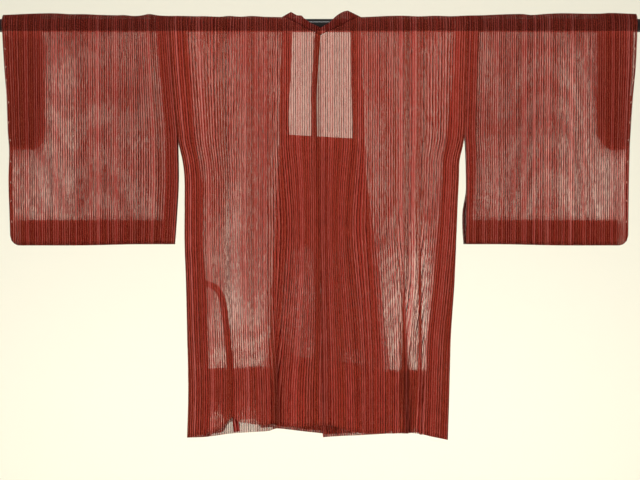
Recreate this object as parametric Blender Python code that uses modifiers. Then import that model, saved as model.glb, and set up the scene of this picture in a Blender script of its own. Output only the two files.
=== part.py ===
"""Michiyuki coat of sheer striped gauze, hung flat on a rod that runs through both sleeves.

The frame is +Z up with +X along the rod, and the origin is on the rod's axis at mid length.
The coat's back faces -Y and its overlapped fronts face +Y. Left and right are the wearer's.
Each length of cloth is one middle surface, laid out as rows along the warp and columns across
it, which Solidify turns into a wall. Cloth turned to the inside is made from the same points,
moved in.
"""

import math
from collections import namedtuple

import bmesh
import bpy
from mathutils import Vector

LEFT = -1
RIGHT = 1
BACK = -1
FRONT = 1

# Walls and gaps
WALL = 0.0010
DOUBLE_WALL = 0.0020
SEAM_GAP = 0.0003
INNER_PLY = WALL + SEAM_GAP
EDGE_CLEAR = 0.0010

# The rod and the cloth bent over it
ROD_RADIUS = 0.014
ROD_HALF_LENGTH = 0.70
ROD_SIDES = 32
CLOTH_RADIUS = 0.0166
TURNS = (0, 30, 60, 90, 120, 150, 180)

# The distance from the coat's middle plane to each of its two faces
SEWN_GAP = 0.0032
EDGE_RUN = 0.080
UPPER_FRONT_STEP = 0.0014
UNDER_FRONT_STEP = -0.0024
FRONT_STEP_HEIGHT = -0.22

# Sleeves
ARMHOLE_END = -0.229
CUFF_OPENING_END = -0.263
SLEEVE_TURNUP_TOP = -0.412
SLEEVE_HEM = -0.4625
CORNER_RADIUS = 0.021
SLEEVE_EDGE_COLUMNS = (0.0, 0.003, 0.008, 0.021, 0.050, 0.080)
SLEEVE_MIDDLE_COLUMNS = 4
SLEEVE_ALLOWANCE = 0.026
TURNUP_DEPTH = 0.0017
WRIST_SEAM_RISE = 0.004
FAR_SLEEVE_SWING = 0.005
FAR_SLEEVE_SWING_TOP = -0.346

# Body
SIDE_SEAM_TOP = -0.253
HEM_TURNUP_TOP = -0.724
SIDE_ALLOWANCE = 0.039
SHOULDER_ALLOWANCE = 0.034
ALLOWANCE_SHARES = (0.0, 0.30, 0.65, 1.0)
BODY_MIDDLE_COLUMNS = 6
BACK_SEAM_ALLOWANCE = 0.012
BACK_NECK_HEIGHT = -0.024

# Collar, overlapping front panels and tie
COLLAR_WIDTH = 0.0234
COLLAR_GAP = 0.0005
WINDOW_SLOPE = -0.057
WINDOW_BOTTOM = -0.2335
OVERLAP_COLUMNS = 7
TIE_WIDTH = 0.013
TIE_CLEAR = 0.0045
TIE_ROW_HEIGHT = -0.545

# Half widths of the sleeves: the wrist edge and the armhole edge on each side
SleeveSection = namedtuple("SleeveSection", "height left_wrist right_wrist left_inner right_inner")
SLEEVE_SECTIONS = (
    SleeveSection(0.000, 0.6690, 0.6675, 0.3185, 0.3120),
    SleeveSection(-0.090, 0.6640, 0.6640, 0.3130, 0.3095),
    SleeveSection(-0.150, 0.6600, 0.6590, 0.3080, 0.3080),
    SleeveSection(-0.229, 0.6585, 0.6550, 0.3010, 0.3060),
    SleeveSection(-0.263, 0.6565, 0.6540, 0.3000, 0.3080),
    SleeveSection(-0.330, 0.6580, 0.6525, 0.2990, 0.3095),
    SleeveSection(-0.412, 0.6555, 0.6515, 0.3030, 0.3090),
    SleeveSection(-0.4625, 0.6545, 0.6510, 0.3065, 0.3085),
)

# Half widths of the body: its side edge, and the seam where each front meets its overlap panel.
# The centre back seam wanders, so its column is its place in X.
BodySection = namedtuple(
    "BodySection", "height left_side right_side left_front right_front back_seam"
)
BODY_SECTIONS = (
    BodySection(0.000, 0.3185, 0.3120, 0.0823, 0.0885, 0.0015),
    BodySection(-0.024, 0.3170, 0.3113, 0.0828, 0.0890, 0.0015),
    BodySection(-0.090, 0.3130, 0.3095, 0.0845, 0.0910, -0.0030),
    BodySection(-0.150, 0.3080, 0.3080, 0.0862, 0.0935, -0.0060),
    BodySection(-0.229, 0.3010, 0.3060, 0.0880, 0.0965, -0.0055),
    BodySection(-0.253, 0.2978, 0.3020, 0.0886, 0.0970, -0.0050),
    BodySection(-0.285, 0.2905, 0.2948, 0.0905, 0.0975, -0.0045),
    BodySection(-0.320, 0.2865, 0.2936, 0.0920, 0.1000, -0.0040),
    BodySection(-0.375, 0.2860, 0.2909, 0.0935, 0.1070, -0.0030),
    BodySection(-0.460, 0.2860, 0.2877, 0.0970, 0.1180, -0.0010),
    BodySection(-0.545, 0.2830, 0.2840, 0.1027, 0.1285, 0.0010),
    BodySection(-0.650, 0.2808, 0.2768, 0.1065, 0.1405, 0.0030),
    BodySection(-0.724, 0.2790, 0.2745, 0.1110, 0.1490, 0.0045),
    BodySection(-0.790, 0.2785, 0.2727, 0.1075, 0.1520, 0.0060),
    BodySection(-0.872, 0.2808, 0.2700, 0.1015, 0.1550, 0.0075),
)

# Distance of the cloth from the middle plane at the edges that are sewn to something
EdgeGap = namedtuple("EdgeGap", "height gap")
BODY_EDGE_GAPS = (
    EdgeGap(0.000, CLOTH_RADIUS),
    EdgeGap(-0.229, 0.0100),
    EdgeGap(-0.253, 0.0058),
    EdgeGap(-0.285, 0.0036),
    EdgeGap(-0.320, SEWN_GAP),
)
SLEEVE_FALL = (EdgeGap(0.000, CLOTH_RADIUS), EdgeGap(-0.4625, SEWN_GAP))
WRIST_EDGE_GAPS = (
    EdgeGap(0.000, CLOTH_RADIUS),
    EdgeGap(-0.150, 0.0115),
    EdgeGap(-0.229, 0.0065),
    EdgeGap(-0.263, 0.0036),
    EdgeGap(-0.330, SEWN_GAP),
)

# How far the cloth stands off the rod's top, by distance from the middle
Lift = namedtuple("Lift", "distance lift")
SHOULDER_LIFTS = (
    Lift(0.080, 0.0000),
    Lift(0.240, 0.0000),
    Lift(0.300, 0.0018),
    Lift(0.357, 0.0040),
    Lift(0.420, 0.0026),
    Lift(0.610, 0.0042),
    Lift(0.669, 0.0034),
)

# The hems from left to right. The back's rides up beside the tie and at the centre seam.
HemPoint = namedtuple("HemPoint", "x height")
BACK_HEM = (
    HemPoint(-0.281, -0.8715),
    HemPoint(-0.233, -0.8650),
    HemPoint(-0.206, -0.8440),
    HemPoint(-0.181, -0.8250),
    HemPoint(-0.160, -0.8360),
    HemPoint(-0.134, -0.8420),
    HemPoint(-0.099, -0.8410),
    HemPoint(-0.042, -0.8450),
    HemPoint(0.027, -0.8430),
    HemPoint(0.053, -0.8480),
    HemPoint(0.084, -0.8550),
    HemPoint(0.174, -0.8600),
    HemPoint(0.200, -0.8600),
    HemPoint(0.239, -0.8680),
    HemPoint(0.270, -0.8725),
)
FRONT_HEM = (
    HemPoint(-0.281, -0.8715),
    HemPoint(-0.233, -0.8700),
    HemPoint(-0.160, -0.8620),
    HemPoint(-0.101, -0.8550),
    HemPoint(0.007, -0.8690),
    HemPoint(0.151, -0.8640),
    HemPoint(0.200, -0.8640),
    HemPoint(0.270, -0.8725),
)
UNDER_FRONT_HEM_RISE = 0.006

# The soft folds: where each starts and where it meets the hem, and how far it stands out
Fold = namedtuple("Fold", "face top_x hem_x top_height half_width depth")
FOLDS = (
    Fold(BACK, -0.176, -0.182, -0.700, 0.040, 0.0060),
    Fold(BACK, -0.100, -0.094, -0.560, 0.026, -0.0045),
    Fold(BACK, 0.055, 0.045, -0.500, 0.040, 0.0030),
    Fold(BACK, 0.172, 0.182, -0.460, 0.024, -0.0050),
    Fold(BACK, 0.206, 0.218, -0.440, 0.022, -0.0040),
    Fold(FRONT, -0.185, -0.190, -0.520, 0.040, 0.0050),
    Fold(FRONT, 0.030, 0.040, -0.450, 0.045, 0.0030),
    Fold(FRONT, 0.205, 0.210, -0.480, 0.035, 0.0050),
)

# The collar's free edge from the middle of the back neck over the shoulder, down to the rod's
# front. Each row goes with one turn of the cloth over the rod, and gives the left and right sides.
NeckPoint = namedtuple("NeckPoint", "left_x right_x y left_height right_height")
NECK_EDGE = (
    NeckPoint(-0.0200, 0.0205, -0.0168, 0.0020, 0.0030),
    NeckPoint(-0.0335, 0.0310, -0.0148, 0.0110, 0.0125),
    NeckPoint(-0.0450, 0.0420, -0.0090, 0.0190, 0.0225),
    NeckPoint(-0.0610, 0.0580, 0.0000, 0.0242, 0.0268),
    NeckPoint(-0.0600, 0.0610, 0.0090, 0.0195, 0.0210),
    NeckPoint(-0.0590, 0.0640, 0.0150, 0.0105, 0.0115),
)
BACK_NECK_DIP = -0.008

# The back's upper edge, which the collar's outer edge meets, for the same turns over the rod
BackNeck = namedtuple("BackNeck", "turn left right")
BACK_NECK_EDGE = (
    BackNeck(0, 0.0440, 0.0480),
    BackNeck(30, 0.0600, 0.0640),
    BackNeck(60, 0.0720, 0.0770),
    BackNeck(90, 0.0800, 0.0860),
    BackNeck(180, 0.0823, 0.0885),
)

# The collar's free edge down each front, which is the side of the square neckline
NeckSide = namedtuple("NeckSide", "height left right")
NECK_SIDES = (
    NeckSide(0.000, 0.0586, 0.0658),
    NeckSide(-0.090, 0.0620, 0.0665),
    NeckSide(-0.190, 0.0670, 0.0685),
    NeckSide(-0.240, 0.0645, 0.0699),
)

# Free edges of the overlapping front panels: the left one lies outermost
OverlapEdge = namedtuple("OverlapEdge", "height left_panel right_panel")
OVERLAP_EDGES = (
    OverlapEdge(-0.253, 0.0920, -0.0820),
    OverlapEdge(-0.460, 0.1080, -0.0880),
    OverlapEdge(-0.724, 0.1340, -0.0990),
    OverlapEdge(-0.872, 0.1400, -0.0930),
)

# The tie hangs from the left side seam inside the coat
TiePoint = namedtuple("TiePoint", "x height lean")
TIE_PATH = (
    TiePoint(-0.232, -0.548, 12),
    TiePoint(-0.216, -0.558, 40),
    TiePoint(-0.204, -0.584, 66),
    TiePoint(-0.197, -0.638, 84),
    TiePoint(-0.191, -0.697, 84),
    TiePoint(-0.184, -0.779, 82),
    TiePoint(-0.176, -0.850, 80),
)

Row = namedtuple("Row", "face height turn")

Look = namedtuple("Look", "colour roughness metallic")
RED_GAUZE = Look((0.32, 0.045, 0.035, 1.0), 0.8, 0.0)
DENSE_RED = Look((0.22, 0.025, 0.020, 1.0), 0.8, 0.0)
BLACK_ENAMEL = Look((0.012, 0.012, 0.014, 1.0), 0.25, 0.0)


def read(table, name, column, value):
    """The named column of a table, read by a straight line at a value of its index column."""
    rows = sorted(table, key=lambda row: getattr(row, name))
    value = min(max(value, getattr(rows[0], name)), getattr(rows[-1], name))
    for low, high in zip(rows, rows[1:]):
        start = getattr(low, name)
        end = getattr(high, name)
        if value <= end:
            share = (value - start) / (end - start)
            return getattr(low, column) * (1 - share) + getattr(high, column) * share
    return getattr(rows[-1], column)


def smooth(share):
    """A rise from 0 to 1 with level ends."""
    share = min(max(share, 0.0), 1.0)
    return share * share * (3 - 2 * share)


def side_name(side):
    return "left" if side == LEFT else "right"


def fold_depth(face, x, height):
    """How far the soft folds push a face of the body outwards at a point."""
    depth = 0.0
    for fold in FOLDS:
        if fold.face != face:
            continue
        drop = (height - fold.top_height) / (BACK_HEM[0].height - fold.top_height)
        middle = fold.top_x + (fold.hem_x - fold.top_x) * min(max(drop, 0.0), 1.0)
        across = abs(x - middle) / fold.half_width
        depth += fold.depth * smooth(drop) * smooth(1 - across)
    return depth


def body_gap(side, face, x, height):
    """Distance of a body face from the middle plane."""
    edge = abs(x - side * read(BODY_SECTIONS, "height", side_name(side) + "_side", height))
    middle = CLOTH_RADIUS
    if face == FRONT:
        seam = read(BODY_SECTIONS, "height", side_name(side) + "_front", height)
        step = UPPER_FRONT_STEP if side == LEFT else UNDER_FRONT_STEP
        near_seam = smooth(1 - (abs(x) - seam) / EDGE_RUN)
        middle += step * near_seam * smooth(height / FRONT_STEP_HEIGHT)
    sewn = read(BODY_EDGE_GAPS, "height", "gap", height)
    return sewn + (middle - sewn) * smooth(edge / EDGE_RUN) + fold_depth(face, x, height)


def sleeve_gap(x, wrist, height):
    """Distance of a sleeve face from the middle plane."""
    fall = read(SLEEVE_FALL, "height", "gap", height)
    sewn = read(WRIST_EDGE_GAPS, "height", "gap", height)
    return sewn + (fall - sewn) * smooth(abs(abs(x) - wrist) / EDGE_RUN)


def over_rod(x, turn):
    """A point of cloth bent over the rod, at an angle from its back to its front."""
    crest = CLOTH_RADIUS + read(SHOULDER_LIFTS, "distance", "lift", abs(x))
    angle = math.radians(turn)
    return Vector((x, -CLOTH_RADIUS * math.cos(angle), crest * math.sin(angle)))


def rows_over_rod(heights):
    """Rows from the back's lowest height over the rod to the front's lowest height."""
    back = [Row(BACK, height, None) for height in sorted(heights)]
    front = [Row(FRONT, height, None) for height in sorted(heights, reverse=True)]
    return back + [Row(None, 0.0, turn) for turn in TURNS] + front


def spread(start, end, count):
    """Evenly spaced values between two others, without them."""
    return [start + (end - start) * (step + 1) / (count + 1) for step in range(count)]


def body_inner_edge(side, row):
    """Where a body width ends towards the middle: the back seam, the neck or the front seam."""
    seam = side * SEAM_GAP / 2
    if row.turn is not None:
        return side * read(BACK_NECK_EDGE, "turn", side_name(side), row.turn)
    if row.face == BACK:
        return read(BODY_SECTIONS, "height", "back_seam", row.height) + seam
    return side * read(BODY_SECTIONS, "height", side_name(side) + "_front", row.height)


def body_columns(side, row):
    """The X of each column of a body width: the side allowance, the middle, the seam's allowance."""
    attached = SEAM_GAP if row.height >= ARMHOLE_END else 0.0
    edge = read(BODY_SECTIONS, "height", side_name(side) + "_side", row.height) - attached
    allowance = SHOULDER_ALLOWANCE if row.turn is not None else SIDE_ALLOWANCE
    inner = body_inner_edge(side, row)
    inner_allowance = inner + side * BACK_SEAM_ALLOWANCE
    outer = [side * (edge - allowance * share) for share in ALLOWANCE_SHARES]
    return outer + spread(outer[-1], inner_allowance, BODY_MIDDLE_COLUMNS) + [inner_allowance, inner]


def body_rows():
    heights = [section.height for section in BODY_SECTIONS if section.height < 0]
    return rows_over_rod(heights)


def body_points(side):
    """The middle surface of one body width, from the back hem over the shoulder to the front."""
    lowest = BODY_SECTIONS[-1].height
    points = []
    for row in body_rows():
        line = []
        for x in body_columns(side, row):
            if row.turn is not None:
                line.append(over_rod(x, row.turn))
                continue
            hem = BACK_HEM if row.face == BACK else FRONT_HEM
            height = read(hem, "x", "height", x) if row.height == lowest else row.height
            line.append(Vector((x, row.face * body_gap(side, row.face, x, height), height)))
        points.append(line)
    return points


def sleeve_rows():
    heights = [section.height for section in SLEEVE_SECTIONS if section.height < 0]
    return rows_over_rod(heights)


def sleeve_columns(side, row):
    name = side_name(side)
    wrist = read(SLEEVE_SECTIONS, "height", name + "_wrist", row.height)
    inner = read(SLEEVE_SECTIONS, "height", name + "_inner", row.height)
    if side == RIGHT and row.face == FRONT:
        inner -= FAR_SLEEVE_SWING * smooth(
            (row.height - FAR_SLEEVE_SWING_TOP) / (SLEEVE_HEM - FAR_SLEEVE_SWING_TOP)
        )
    outer = [wrist - inset for inset in SLEEVE_EDGE_COLUMNS]
    allowance = inner + SLEEVE_ALLOWANCE
    middle = spread(outer[-1], allowance, SLEEVE_MIDDLE_COLUMNS)
    return [side * x for x in outer + middle + [allowance, inner]]


def sleeve_hem(inset):
    """Height of a sleeve's lower edge, which rounds up to the wrist edge."""
    reach = max(CORNER_RADIUS - inset, 0.0)
    return SLEEVE_HEM + CORNER_RADIUS - math.sqrt(CORNER_RADIUS**2 - reach**2)


def sleeve_points(side):
    """The middle surface of one sleeve, from the back's lower edge over the rod to the front's."""
    lowest = SLEEVE_SECTIONS[-1].height
    points = []
    for row in sleeve_rows():
        line = []
        columns = sleeve_columns(side, row)
        for x in columns:
            if row.turn is not None:
                line.append(over_rod(x, row.turn))
                continue
            inset = abs(columns[0] - x)
            height = sleeve_hem(inset) if row.height == lowest else row.height
            gap = sleeve_gap(x, abs(columns[0]), height)
            line.append(Vector((x, row.face * gap, height)))
        points.append(line)
    return points


def inward(points):
    """For each point of a surface, the unit direction that points into the coat."""
    last_row = len(points) - 1
    last_column = len(points[0]) - 1
    directions = []
    for r, line in enumerate(points):
        out = []
        for c, point in enumerate(line):
            along = points[min(r + 1, last_row)][c] - points[max(r - 1, 0)][c]
            across = line[min(c + 1, last_column)] - line[max(c - 1, 0)]
            normal = along.cross(across).normalized()
            to_middle = Vector((0, -point.y, -max(point.z, 0.0)))
            out.append(normal if normal.dot(to_middle) > 0 else -normal)
        directions.append(out)
    return directions


def inner_ply(points, rows, columns, trims, depth=INNER_PLY):
    """Cloth lying inside a surface: its points in a range of rows and columns, moved in.

    Each trim draws one edge back along the surface: first row, last row, first and last column.
    """
    directions = inward(points)
    moved = [
        [points[r][c] + directions[r][c] * depth for c in range(columns[0], columns[1] + 1)]
        for r in range(rows[0], rows[1] + 1)
    ]
    first_row, last_row, first_column, last_column = trims
    for line in moved:
        line[0] += (line[1] - line[0]).normalized() * first_column
        line[-1] += (line[-2] - line[-1]).normalized() * last_column
    for c in range(len(moved[0])):
        moved[0][c] += (moved[1][c] - moved[0][c]).normalized() * first_row
        moved[-1][c] += (moved[-2][c] - moved[-1][c]).normalized() * last_row
    return moved


def grid_mesh(points):
    """A bmesh of one surface, with its vertices by row and column."""
    bm = bmesh.new()
    rows = len(points)
    columns = len(points[0])
    made = bmesh.ops.create_grid(bm, x_segments=columns - 1, y_segments=rows - 1, size=1)
    order = sorted(made["verts"], key=lambda v: (round(v.co.y, 4), round(v.co.x, 4)))
    grid = [order[r * columns : (r + 1) * columns] for r in range(rows)]
    for line, places in zip(grid, points):
        for vertex, place in zip(line, places):
            vertex.co = place
    return bm, grid


def chain(vertices):
    """The edges between neighbours in a line of vertices."""
    edges = []
    for start, end in zip(vertices, vertices[1:]):
        edges += [edge for edge in start.link_edges if edge.other_vert(start) == end]
    return edges


def sew(bm, first, second):
    """Joins two edges of a surface with a strip of faces."""
    bmesh.ops.bridge_loops(bm, edges=chain(first) + chain(second))


def make_material(name, look):
    material = bpy.data.materials.new(name)
    material.use_nodes = True
    shader = material.node_tree.nodes["Principled BSDF"]
    shader.inputs["Base Color"].default_value = look.colour
    shader.inputs["Roughness"].default_value = look.roughness
    shader.inputs["Metallic"].default_value = look.metallic
    material.diffuse_color = look.colour
    return material


def finish(name, bm, wall, look, collection):
    """Makes a surface an object with a wall of the given thickness."""
    bmesh.ops.recalc_face_normals(bm, faces=bm.faces)
    mesh = bpy.data.meshes.new(name)
    bm.to_mesh(mesh)
    bm.free()
    mesh.shade_smooth()
    mesh.materials.append(make_material(name, look))
    cloth = bpy.data.objects.new(name, mesh)
    collection.objects.link(cloth)
    solidify = cloth.modifiers.new("Wall", "SOLIDIFY")
    solidify.thickness = wall
    solidify.offset = 0.0
    solidify.use_even_offset = True
    return cloth


def make_cloth(name, points, wall, look, collection):
    bm, _ = grid_mesh(points)
    return finish(name, bm, wall, look, collection)


def row_of(rows, face, height):
    """The number of the row at a height on one face."""
    for number, row in enumerate(rows):
        if row.turn is None and row.face == face and abs(row.height - height) < SEAM_GAP:
            return number
    raise ValueError(f"no row at {height} on face {face}")


def make_body(side, collection):
    """One body width: a single length from the back hem over the shoulder to the front hem,
    sewn to itself down the side below the sleeve."""
    points = body_points(side)
    rows = body_rows()
    bm, grid = grid_mesh(points)
    back_top = row_of(rows, BACK, SIDE_SEAM_TOP)
    front_top = row_of(rows, FRONT, SIDE_SEAM_TOP)
    back_side = [line[0] for line in grid[: back_top + 1]]
    front_side = [line[0] for line in grid[front_top:]]
    sew(bm, back_side, front_side)
    finish("body_" + side_name(side), bm, WALL, RED_GAUZE, collection)
    return points


def make_body_allowances(side, points, collection):
    """The cloth turned in on one body width: at the side, at both hems and at the back seam."""
    rows = body_rows()
    last_row = len(points) - 1
    last = len(points[0]) - 1
    side_last = len(ALLOWANCE_SHARES) - 1
    name = side_name(side)
    whole = inner_ply(points, (0, last_row), (0, side_last), (0, 0, EDGE_CLEAR, 0))
    make_cloth("side_allowance_" + name, whole, WALL, DENSE_RED, collection)
    back = (0, row_of(rows, BACK, HEM_TURNUP_TOP))
    front = (row_of(rows, FRONT, HEM_TURNUP_TOP), last_row)
    back_last = last - 1 if side == LEFT else last
    trims = (0, 0, SEAM_GAP, SEAM_GAP)
    back_hem = inner_ply(points, back, (side_last, back_last), trims)
    make_cloth("hem_turnup_back_" + name, back_hem, WALL, DENSE_RED, collection)
    front_hem = inner_ply(points, front, (side_last, last), trims)
    make_cloth("hem_turnup_front_" + name, front_hem, WALL, DENSE_RED, collection)
    if side == LEFT:
        seam_rows = (0, row_of(rows, BACK, BACK_NECK_HEIGHT))
        seam = inner_ply(points, seam_rows, (last - 1, last), (0, 0, 0, 0))
        make_cloth("back_seam_allowance", seam, WALL, DENSE_RED, collection)


def make_sleeve(side, collection):
    """One sleeve: a single length over the rod, sewn along its lower edge and up the wrist
    edge to the cuff opening, and open towards the body."""
    points = sleeve_points(side)
    rows = sleeve_rows()
    bm, grid = grid_mesh(points)
    back_end = row_of(rows, BACK, CUFF_OPENING_END)
    front_end = row_of(rows, FRONT, CUFF_OPENING_END)
    back_wrist = [line[0] for line in reversed(grid[: back_end + 1])]
    front_wrist = [line[0] for line in grid[front_end:]]
    sew(bm, back_wrist + grid[0][1:], front_wrist + grid[-1][1:])
    finish("sleeve_" + side_name(side), bm, WALL, RED_GAUZE, collection)
    return points


def make_sleeve_allowances(side, points, collection):
    """The cloth turned in on one sleeve: wrist facing, seam strip, lower turn-up, armhole strip."""
    rows = sleeve_rows()
    last_row = len(points) - 1
    last = len(points[0]) - 1
    facing_columns = (2, len(SLEEVE_EDGE_COLUMNS) - 1)
    name = side_name(side)

    armhole = inner_ply(points, (0, last_row), (last - 1, last), (0, 0, 0, SEAM_GAP))
    for line in (armhole[0], armhole[-1]):
        for point in line:
            point.z += INNER_PLY
    make_cloth("armhole_allowance_" + name, armhole, WALL, DENSE_RED, collection)

    opening = (row_of(rows, BACK, CUFF_OPENING_END), row_of(rows, FRONT, CUFF_OPENING_END))
    facing = inner_ply(points, opening, facing_columns, (0, 0, SEAM_GAP, 0))
    corner_rise = (ARMHOLE_END - CUFF_OPENING_END) / 2
    for line in (facing[0], facing[-1]):
        line[-1].z += corner_rise
    make_cloth("cuff_facing_" + name, facing, WALL, DENSE_RED, collection)

    seam_rows = (0, opening[0])
    seam = inner_ply(points, seam_rows, (0, 2), (WRIST_SEAM_RISE, 0, 2 * EDGE_CLEAR, SEAM_GAP))
    make_cloth("wrist_seam_" + name, seam, WALL, DENSE_RED, collection)

    turnup_columns = (3, last - 1)
    top = row_of(rows, BACK, SLEEVE_TURNUP_TOP)
    low_trims = (0, 0, SEAM_GAP, EDGE_CLEAR)
    back = inner_ply(points, (0, top), turnup_columns, low_trims, TURNUP_DEPTH)
    top = row_of(rows, FRONT, SLEEVE_TURNUP_TOP)
    front = inner_ply(points, (top, last_row), turnup_columns, low_trims, TURNUP_DEPTH)
    for line in (back[0], front[-1]):
        for point in line:
            point.z += TURNUP_DEPTH
    channel = list(reversed(back)) + list(reversed(front))
    make_cloth("sleeve_turnup_" + name, channel, WALL, DENSE_RED, collection)


def window_bottom(x):
    """Height of the square neckline's lower edge, which slopes a little."""
    return WINDOW_BOTTOM + WINDOW_SLOPE * x


def collar_side(side, body):
    """The collar from the middle of the back neck to the end of its lower front strip, as pairs
    of an outer point, on the cloth that it is sewn to, and a point on its free edge."""
    name = side_name(side)
    rows = body_rows()
    step = UPPER_FRONT_STEP if side == LEFT else UNDER_FRONT_STEP
    first = row_of(rows, BACK, BACK_NECK_HEIGHT) + 1
    pairs = []
    for number, row in enumerate(rows[first:], first):
        edge = body[number][-1]
        if row.turn is not None and row.turn < TURNS[-1]:
            neck = NECK_EDGE[TURNS.index(row.turn)]
            free = Vector((getattr(neck, name + "_x"), neck.y, getattr(neck, name + "_height")))
        elif row.height > WINDOW_BOTTOM:
            free = Vector((side * read(NECK_SIDES, "height", name, row.height), edge.y, edge.z))
        else:
            break
        pairs.append((edge + (free - edge).normalized() * COLLAR_GAP, free))
    gap = CLOTH_RADIUS + step
    corner = side * read(NECK_SIDES, "height", name, WINDOW_BOTTOM)
    outer = side * (read(BODY_SECTIONS, "height", name + "_front", WINDOW_BOTTOM) - COLLAR_GAP)
    end_name = name + "_panel"
    end = read(OVERLAP_EDGES, "height", end_name, OVERLAP_EDGES[0].height)
    for x_outer, x_free in ((outer, corner), (0.0, 0.0), (end, end)):
        low = window_bottom(x_outer) - COLLAR_WIDTH
        pairs.append((Vector((x_outer, gap, low)), Vector((x_free, gap, window_bottom(x_free)))))
    return pairs


def make_collar(left_body, right_body, collection):
    """The small collar round the neck: one strip that stands over the rod at each shoulder,
    runs down both sides of the square neckline and turns in along its lower edge."""
    seam = BODY_SECTIONS[1].back_seam
    low = Vector((seam, -CLOTH_RADIUS, BACK_NECK_HEIGHT + COLLAR_GAP))
    dip = Vector((seam, -CLOTH_RADIUS, BACK_NECK_DIP))
    left = collar_side(LEFT, left_body)
    right = collar_side(RIGHT, right_body)
    pairs = list(reversed(left)) + [(low, dip)] + right
    points = [list(pair) for pair in pairs]
    return make_cloth("collar", points, DOUBLE_WALL, DENSE_RED, collection)


def overlap_points(side):
    """The middle surface of one front overlap panel, from under the collar to the hem."""
    name = side_name(side)
    step = UPPER_FRONT_STEP if side == LEFT else UNDER_FRONT_STEP
    heights = [section.height for section in BODY_SECTIONS if section.height <= SIDE_SEAM_TOP]
    lowest = heights[-1]
    points = []
    for height in heights:
        seam = side * (read(BODY_SECTIONS, "height", name + "_front", height) - SEAM_GAP)
        free = read(OVERLAP_EDGES, "height", name + "_panel", height)
        line = []
        for x in [seam] + spread(seam, free, OVERLAP_COLUMNS) + [free]:
            z = height
            if height == heights[0]:
                z = window_bottom(x) - COLLAR_WIDTH - SEAM_GAP
            if height == lowest:
                z = read(FRONT_HEM, "x", "height", x)
                z += UNDER_FRONT_HEM_RISE if side == RIGHT else 0.0
            line.append(Vector((x, CLOTH_RADIUS + step + fold_depth(FRONT, x, z), z)))
        points.append(line)
    return points


def make_tie(body, collection):
    """The narrow tie that is sewn to the left side allowance and hangs inside the coat."""
    rows = body_rows()
    row = row_of(rows, BACK, TIE_ROW_HEIGHT)
    column = len(ALLOWANCE_SHARES) - 1
    root = body[row][column] + inward(body)[row][column] * INNER_PLY
    root.x += SEAM_GAP
    half = TIE_WIDTH / 2
    points = [[root + Vector((0, 0, half)), root - Vector((0, 0, half))]]
    for place in TIE_PATH:
        y = TIE_CLEAR - body_gap(LEFT, BACK, place.x, place.height)
        centre = Vector((place.x, y, place.height))
        lean = math.radians(place.lean)
        reach = Vector((math.sin(lean), 0, math.cos(lean))) * half
        points.append([centre + reach, centre - reach])
    return make_cloth("inner_tie", points, WALL, DENSE_RED, collection)


def make_rod(collection):
    """The plain round rod that holds the coat, with flat ends."""
    bm = bmesh.new()
    bmesh.ops.create_cone(
        bm,
        cap_ends=True,
        segments=ROD_SIDES,
        radius1=ROD_RADIUS,
        radius2=ROD_RADIUS,
        depth=2 * ROD_HALF_LENGTH,
    )
    mesh = bpy.data.meshes.new("rod")
    bm.to_mesh(mesh)
    bm.free()
    mesh.shade_smooth()
    mesh.set_sharp_from_angle(angle=math.radians(40))
    mesh.materials.append(make_material("rod", BLACK_ENAMEL))
    rod = bpy.data.objects.new("rod", mesh)
    rod.rotation_euler = (0, math.pi / 2, 0)
    collection.objects.link(rod)
    return rod


def clear_scene():
    for thing in list(bpy.data.objects):
        bpy.data.objects.remove(thing, do_unlink=True)


def main():
    clear_scene()
    collection = bpy.data.collections.new("michiyuki_coat")
    bpy.context.scene.collection.children.link(collection)
    bodies = {}
    for side in (LEFT, RIGHT):
        bodies[side] = make_body(side, collection)
        make_body_allowances(side, bodies[side], collection)
        sleeve = make_sleeve(side, collection)
        make_sleeve_allowances(side, sleeve, collection)
        overlap = "front_overlap_" + side_name(side)
        make_cloth(overlap, overlap_points(side), DOUBLE_WALL, DENSE_RED, collection)
    make_collar(bodies[LEFT], bodies[RIGHT], collection)
    make_tie(bodies[LEFT], collection)
    make_rod(collection)


main()
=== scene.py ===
"""Michiyuki coat of sheer striped gauze, hung flat on a rod that runs through both sleeves.

Everything is in metres, +Z up, with +X along the rod and the origin on the rod's axis at mid
length. The coat's back faces -Y and its overlapped fronts face +Y. Left and right are the
wearer's. Every ply of cloth is a thin shell of its own, laid out as rows along the warp and
columns across it, and carries its flat place on the bolt in a UV map, which the stripes follow.
"""

import functools
import math
from collections import namedtuple

import bmesh
import bpy
from bpy.props import FloatProperty, FloatVectorProperty, PointerProperty
from mathutils import Matrix, Vector, noise


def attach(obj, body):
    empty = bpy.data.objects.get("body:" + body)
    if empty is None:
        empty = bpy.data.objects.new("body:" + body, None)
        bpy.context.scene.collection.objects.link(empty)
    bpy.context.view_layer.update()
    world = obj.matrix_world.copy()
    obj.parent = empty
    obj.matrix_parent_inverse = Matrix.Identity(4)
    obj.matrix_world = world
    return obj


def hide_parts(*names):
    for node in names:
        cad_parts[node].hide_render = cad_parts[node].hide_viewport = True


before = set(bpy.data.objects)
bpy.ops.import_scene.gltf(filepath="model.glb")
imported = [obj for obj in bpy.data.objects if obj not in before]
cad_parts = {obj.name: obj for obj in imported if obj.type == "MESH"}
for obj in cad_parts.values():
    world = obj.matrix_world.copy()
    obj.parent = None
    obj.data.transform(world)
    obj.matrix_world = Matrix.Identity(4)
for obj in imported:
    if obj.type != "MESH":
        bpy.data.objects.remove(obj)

bl_info = {
    "name": "Michiyuki Coat",
    "version": (1, 0, 0),
    "blender": (4, 5, 0),
    "location": "3D View > Sidebar > Coat",
    "description": "Builds a sheer striped coat hung on a rod",
    "category": "Object",
}

LEFT = -1
RIGHT = 1
BACK = -1
FRONT = 1


def entries(columns, *rows):
    """A table with named columns."""
    entry = namedtuple("Entry", columns)
    return tuple(entry(*row) for row in rows)


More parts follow.
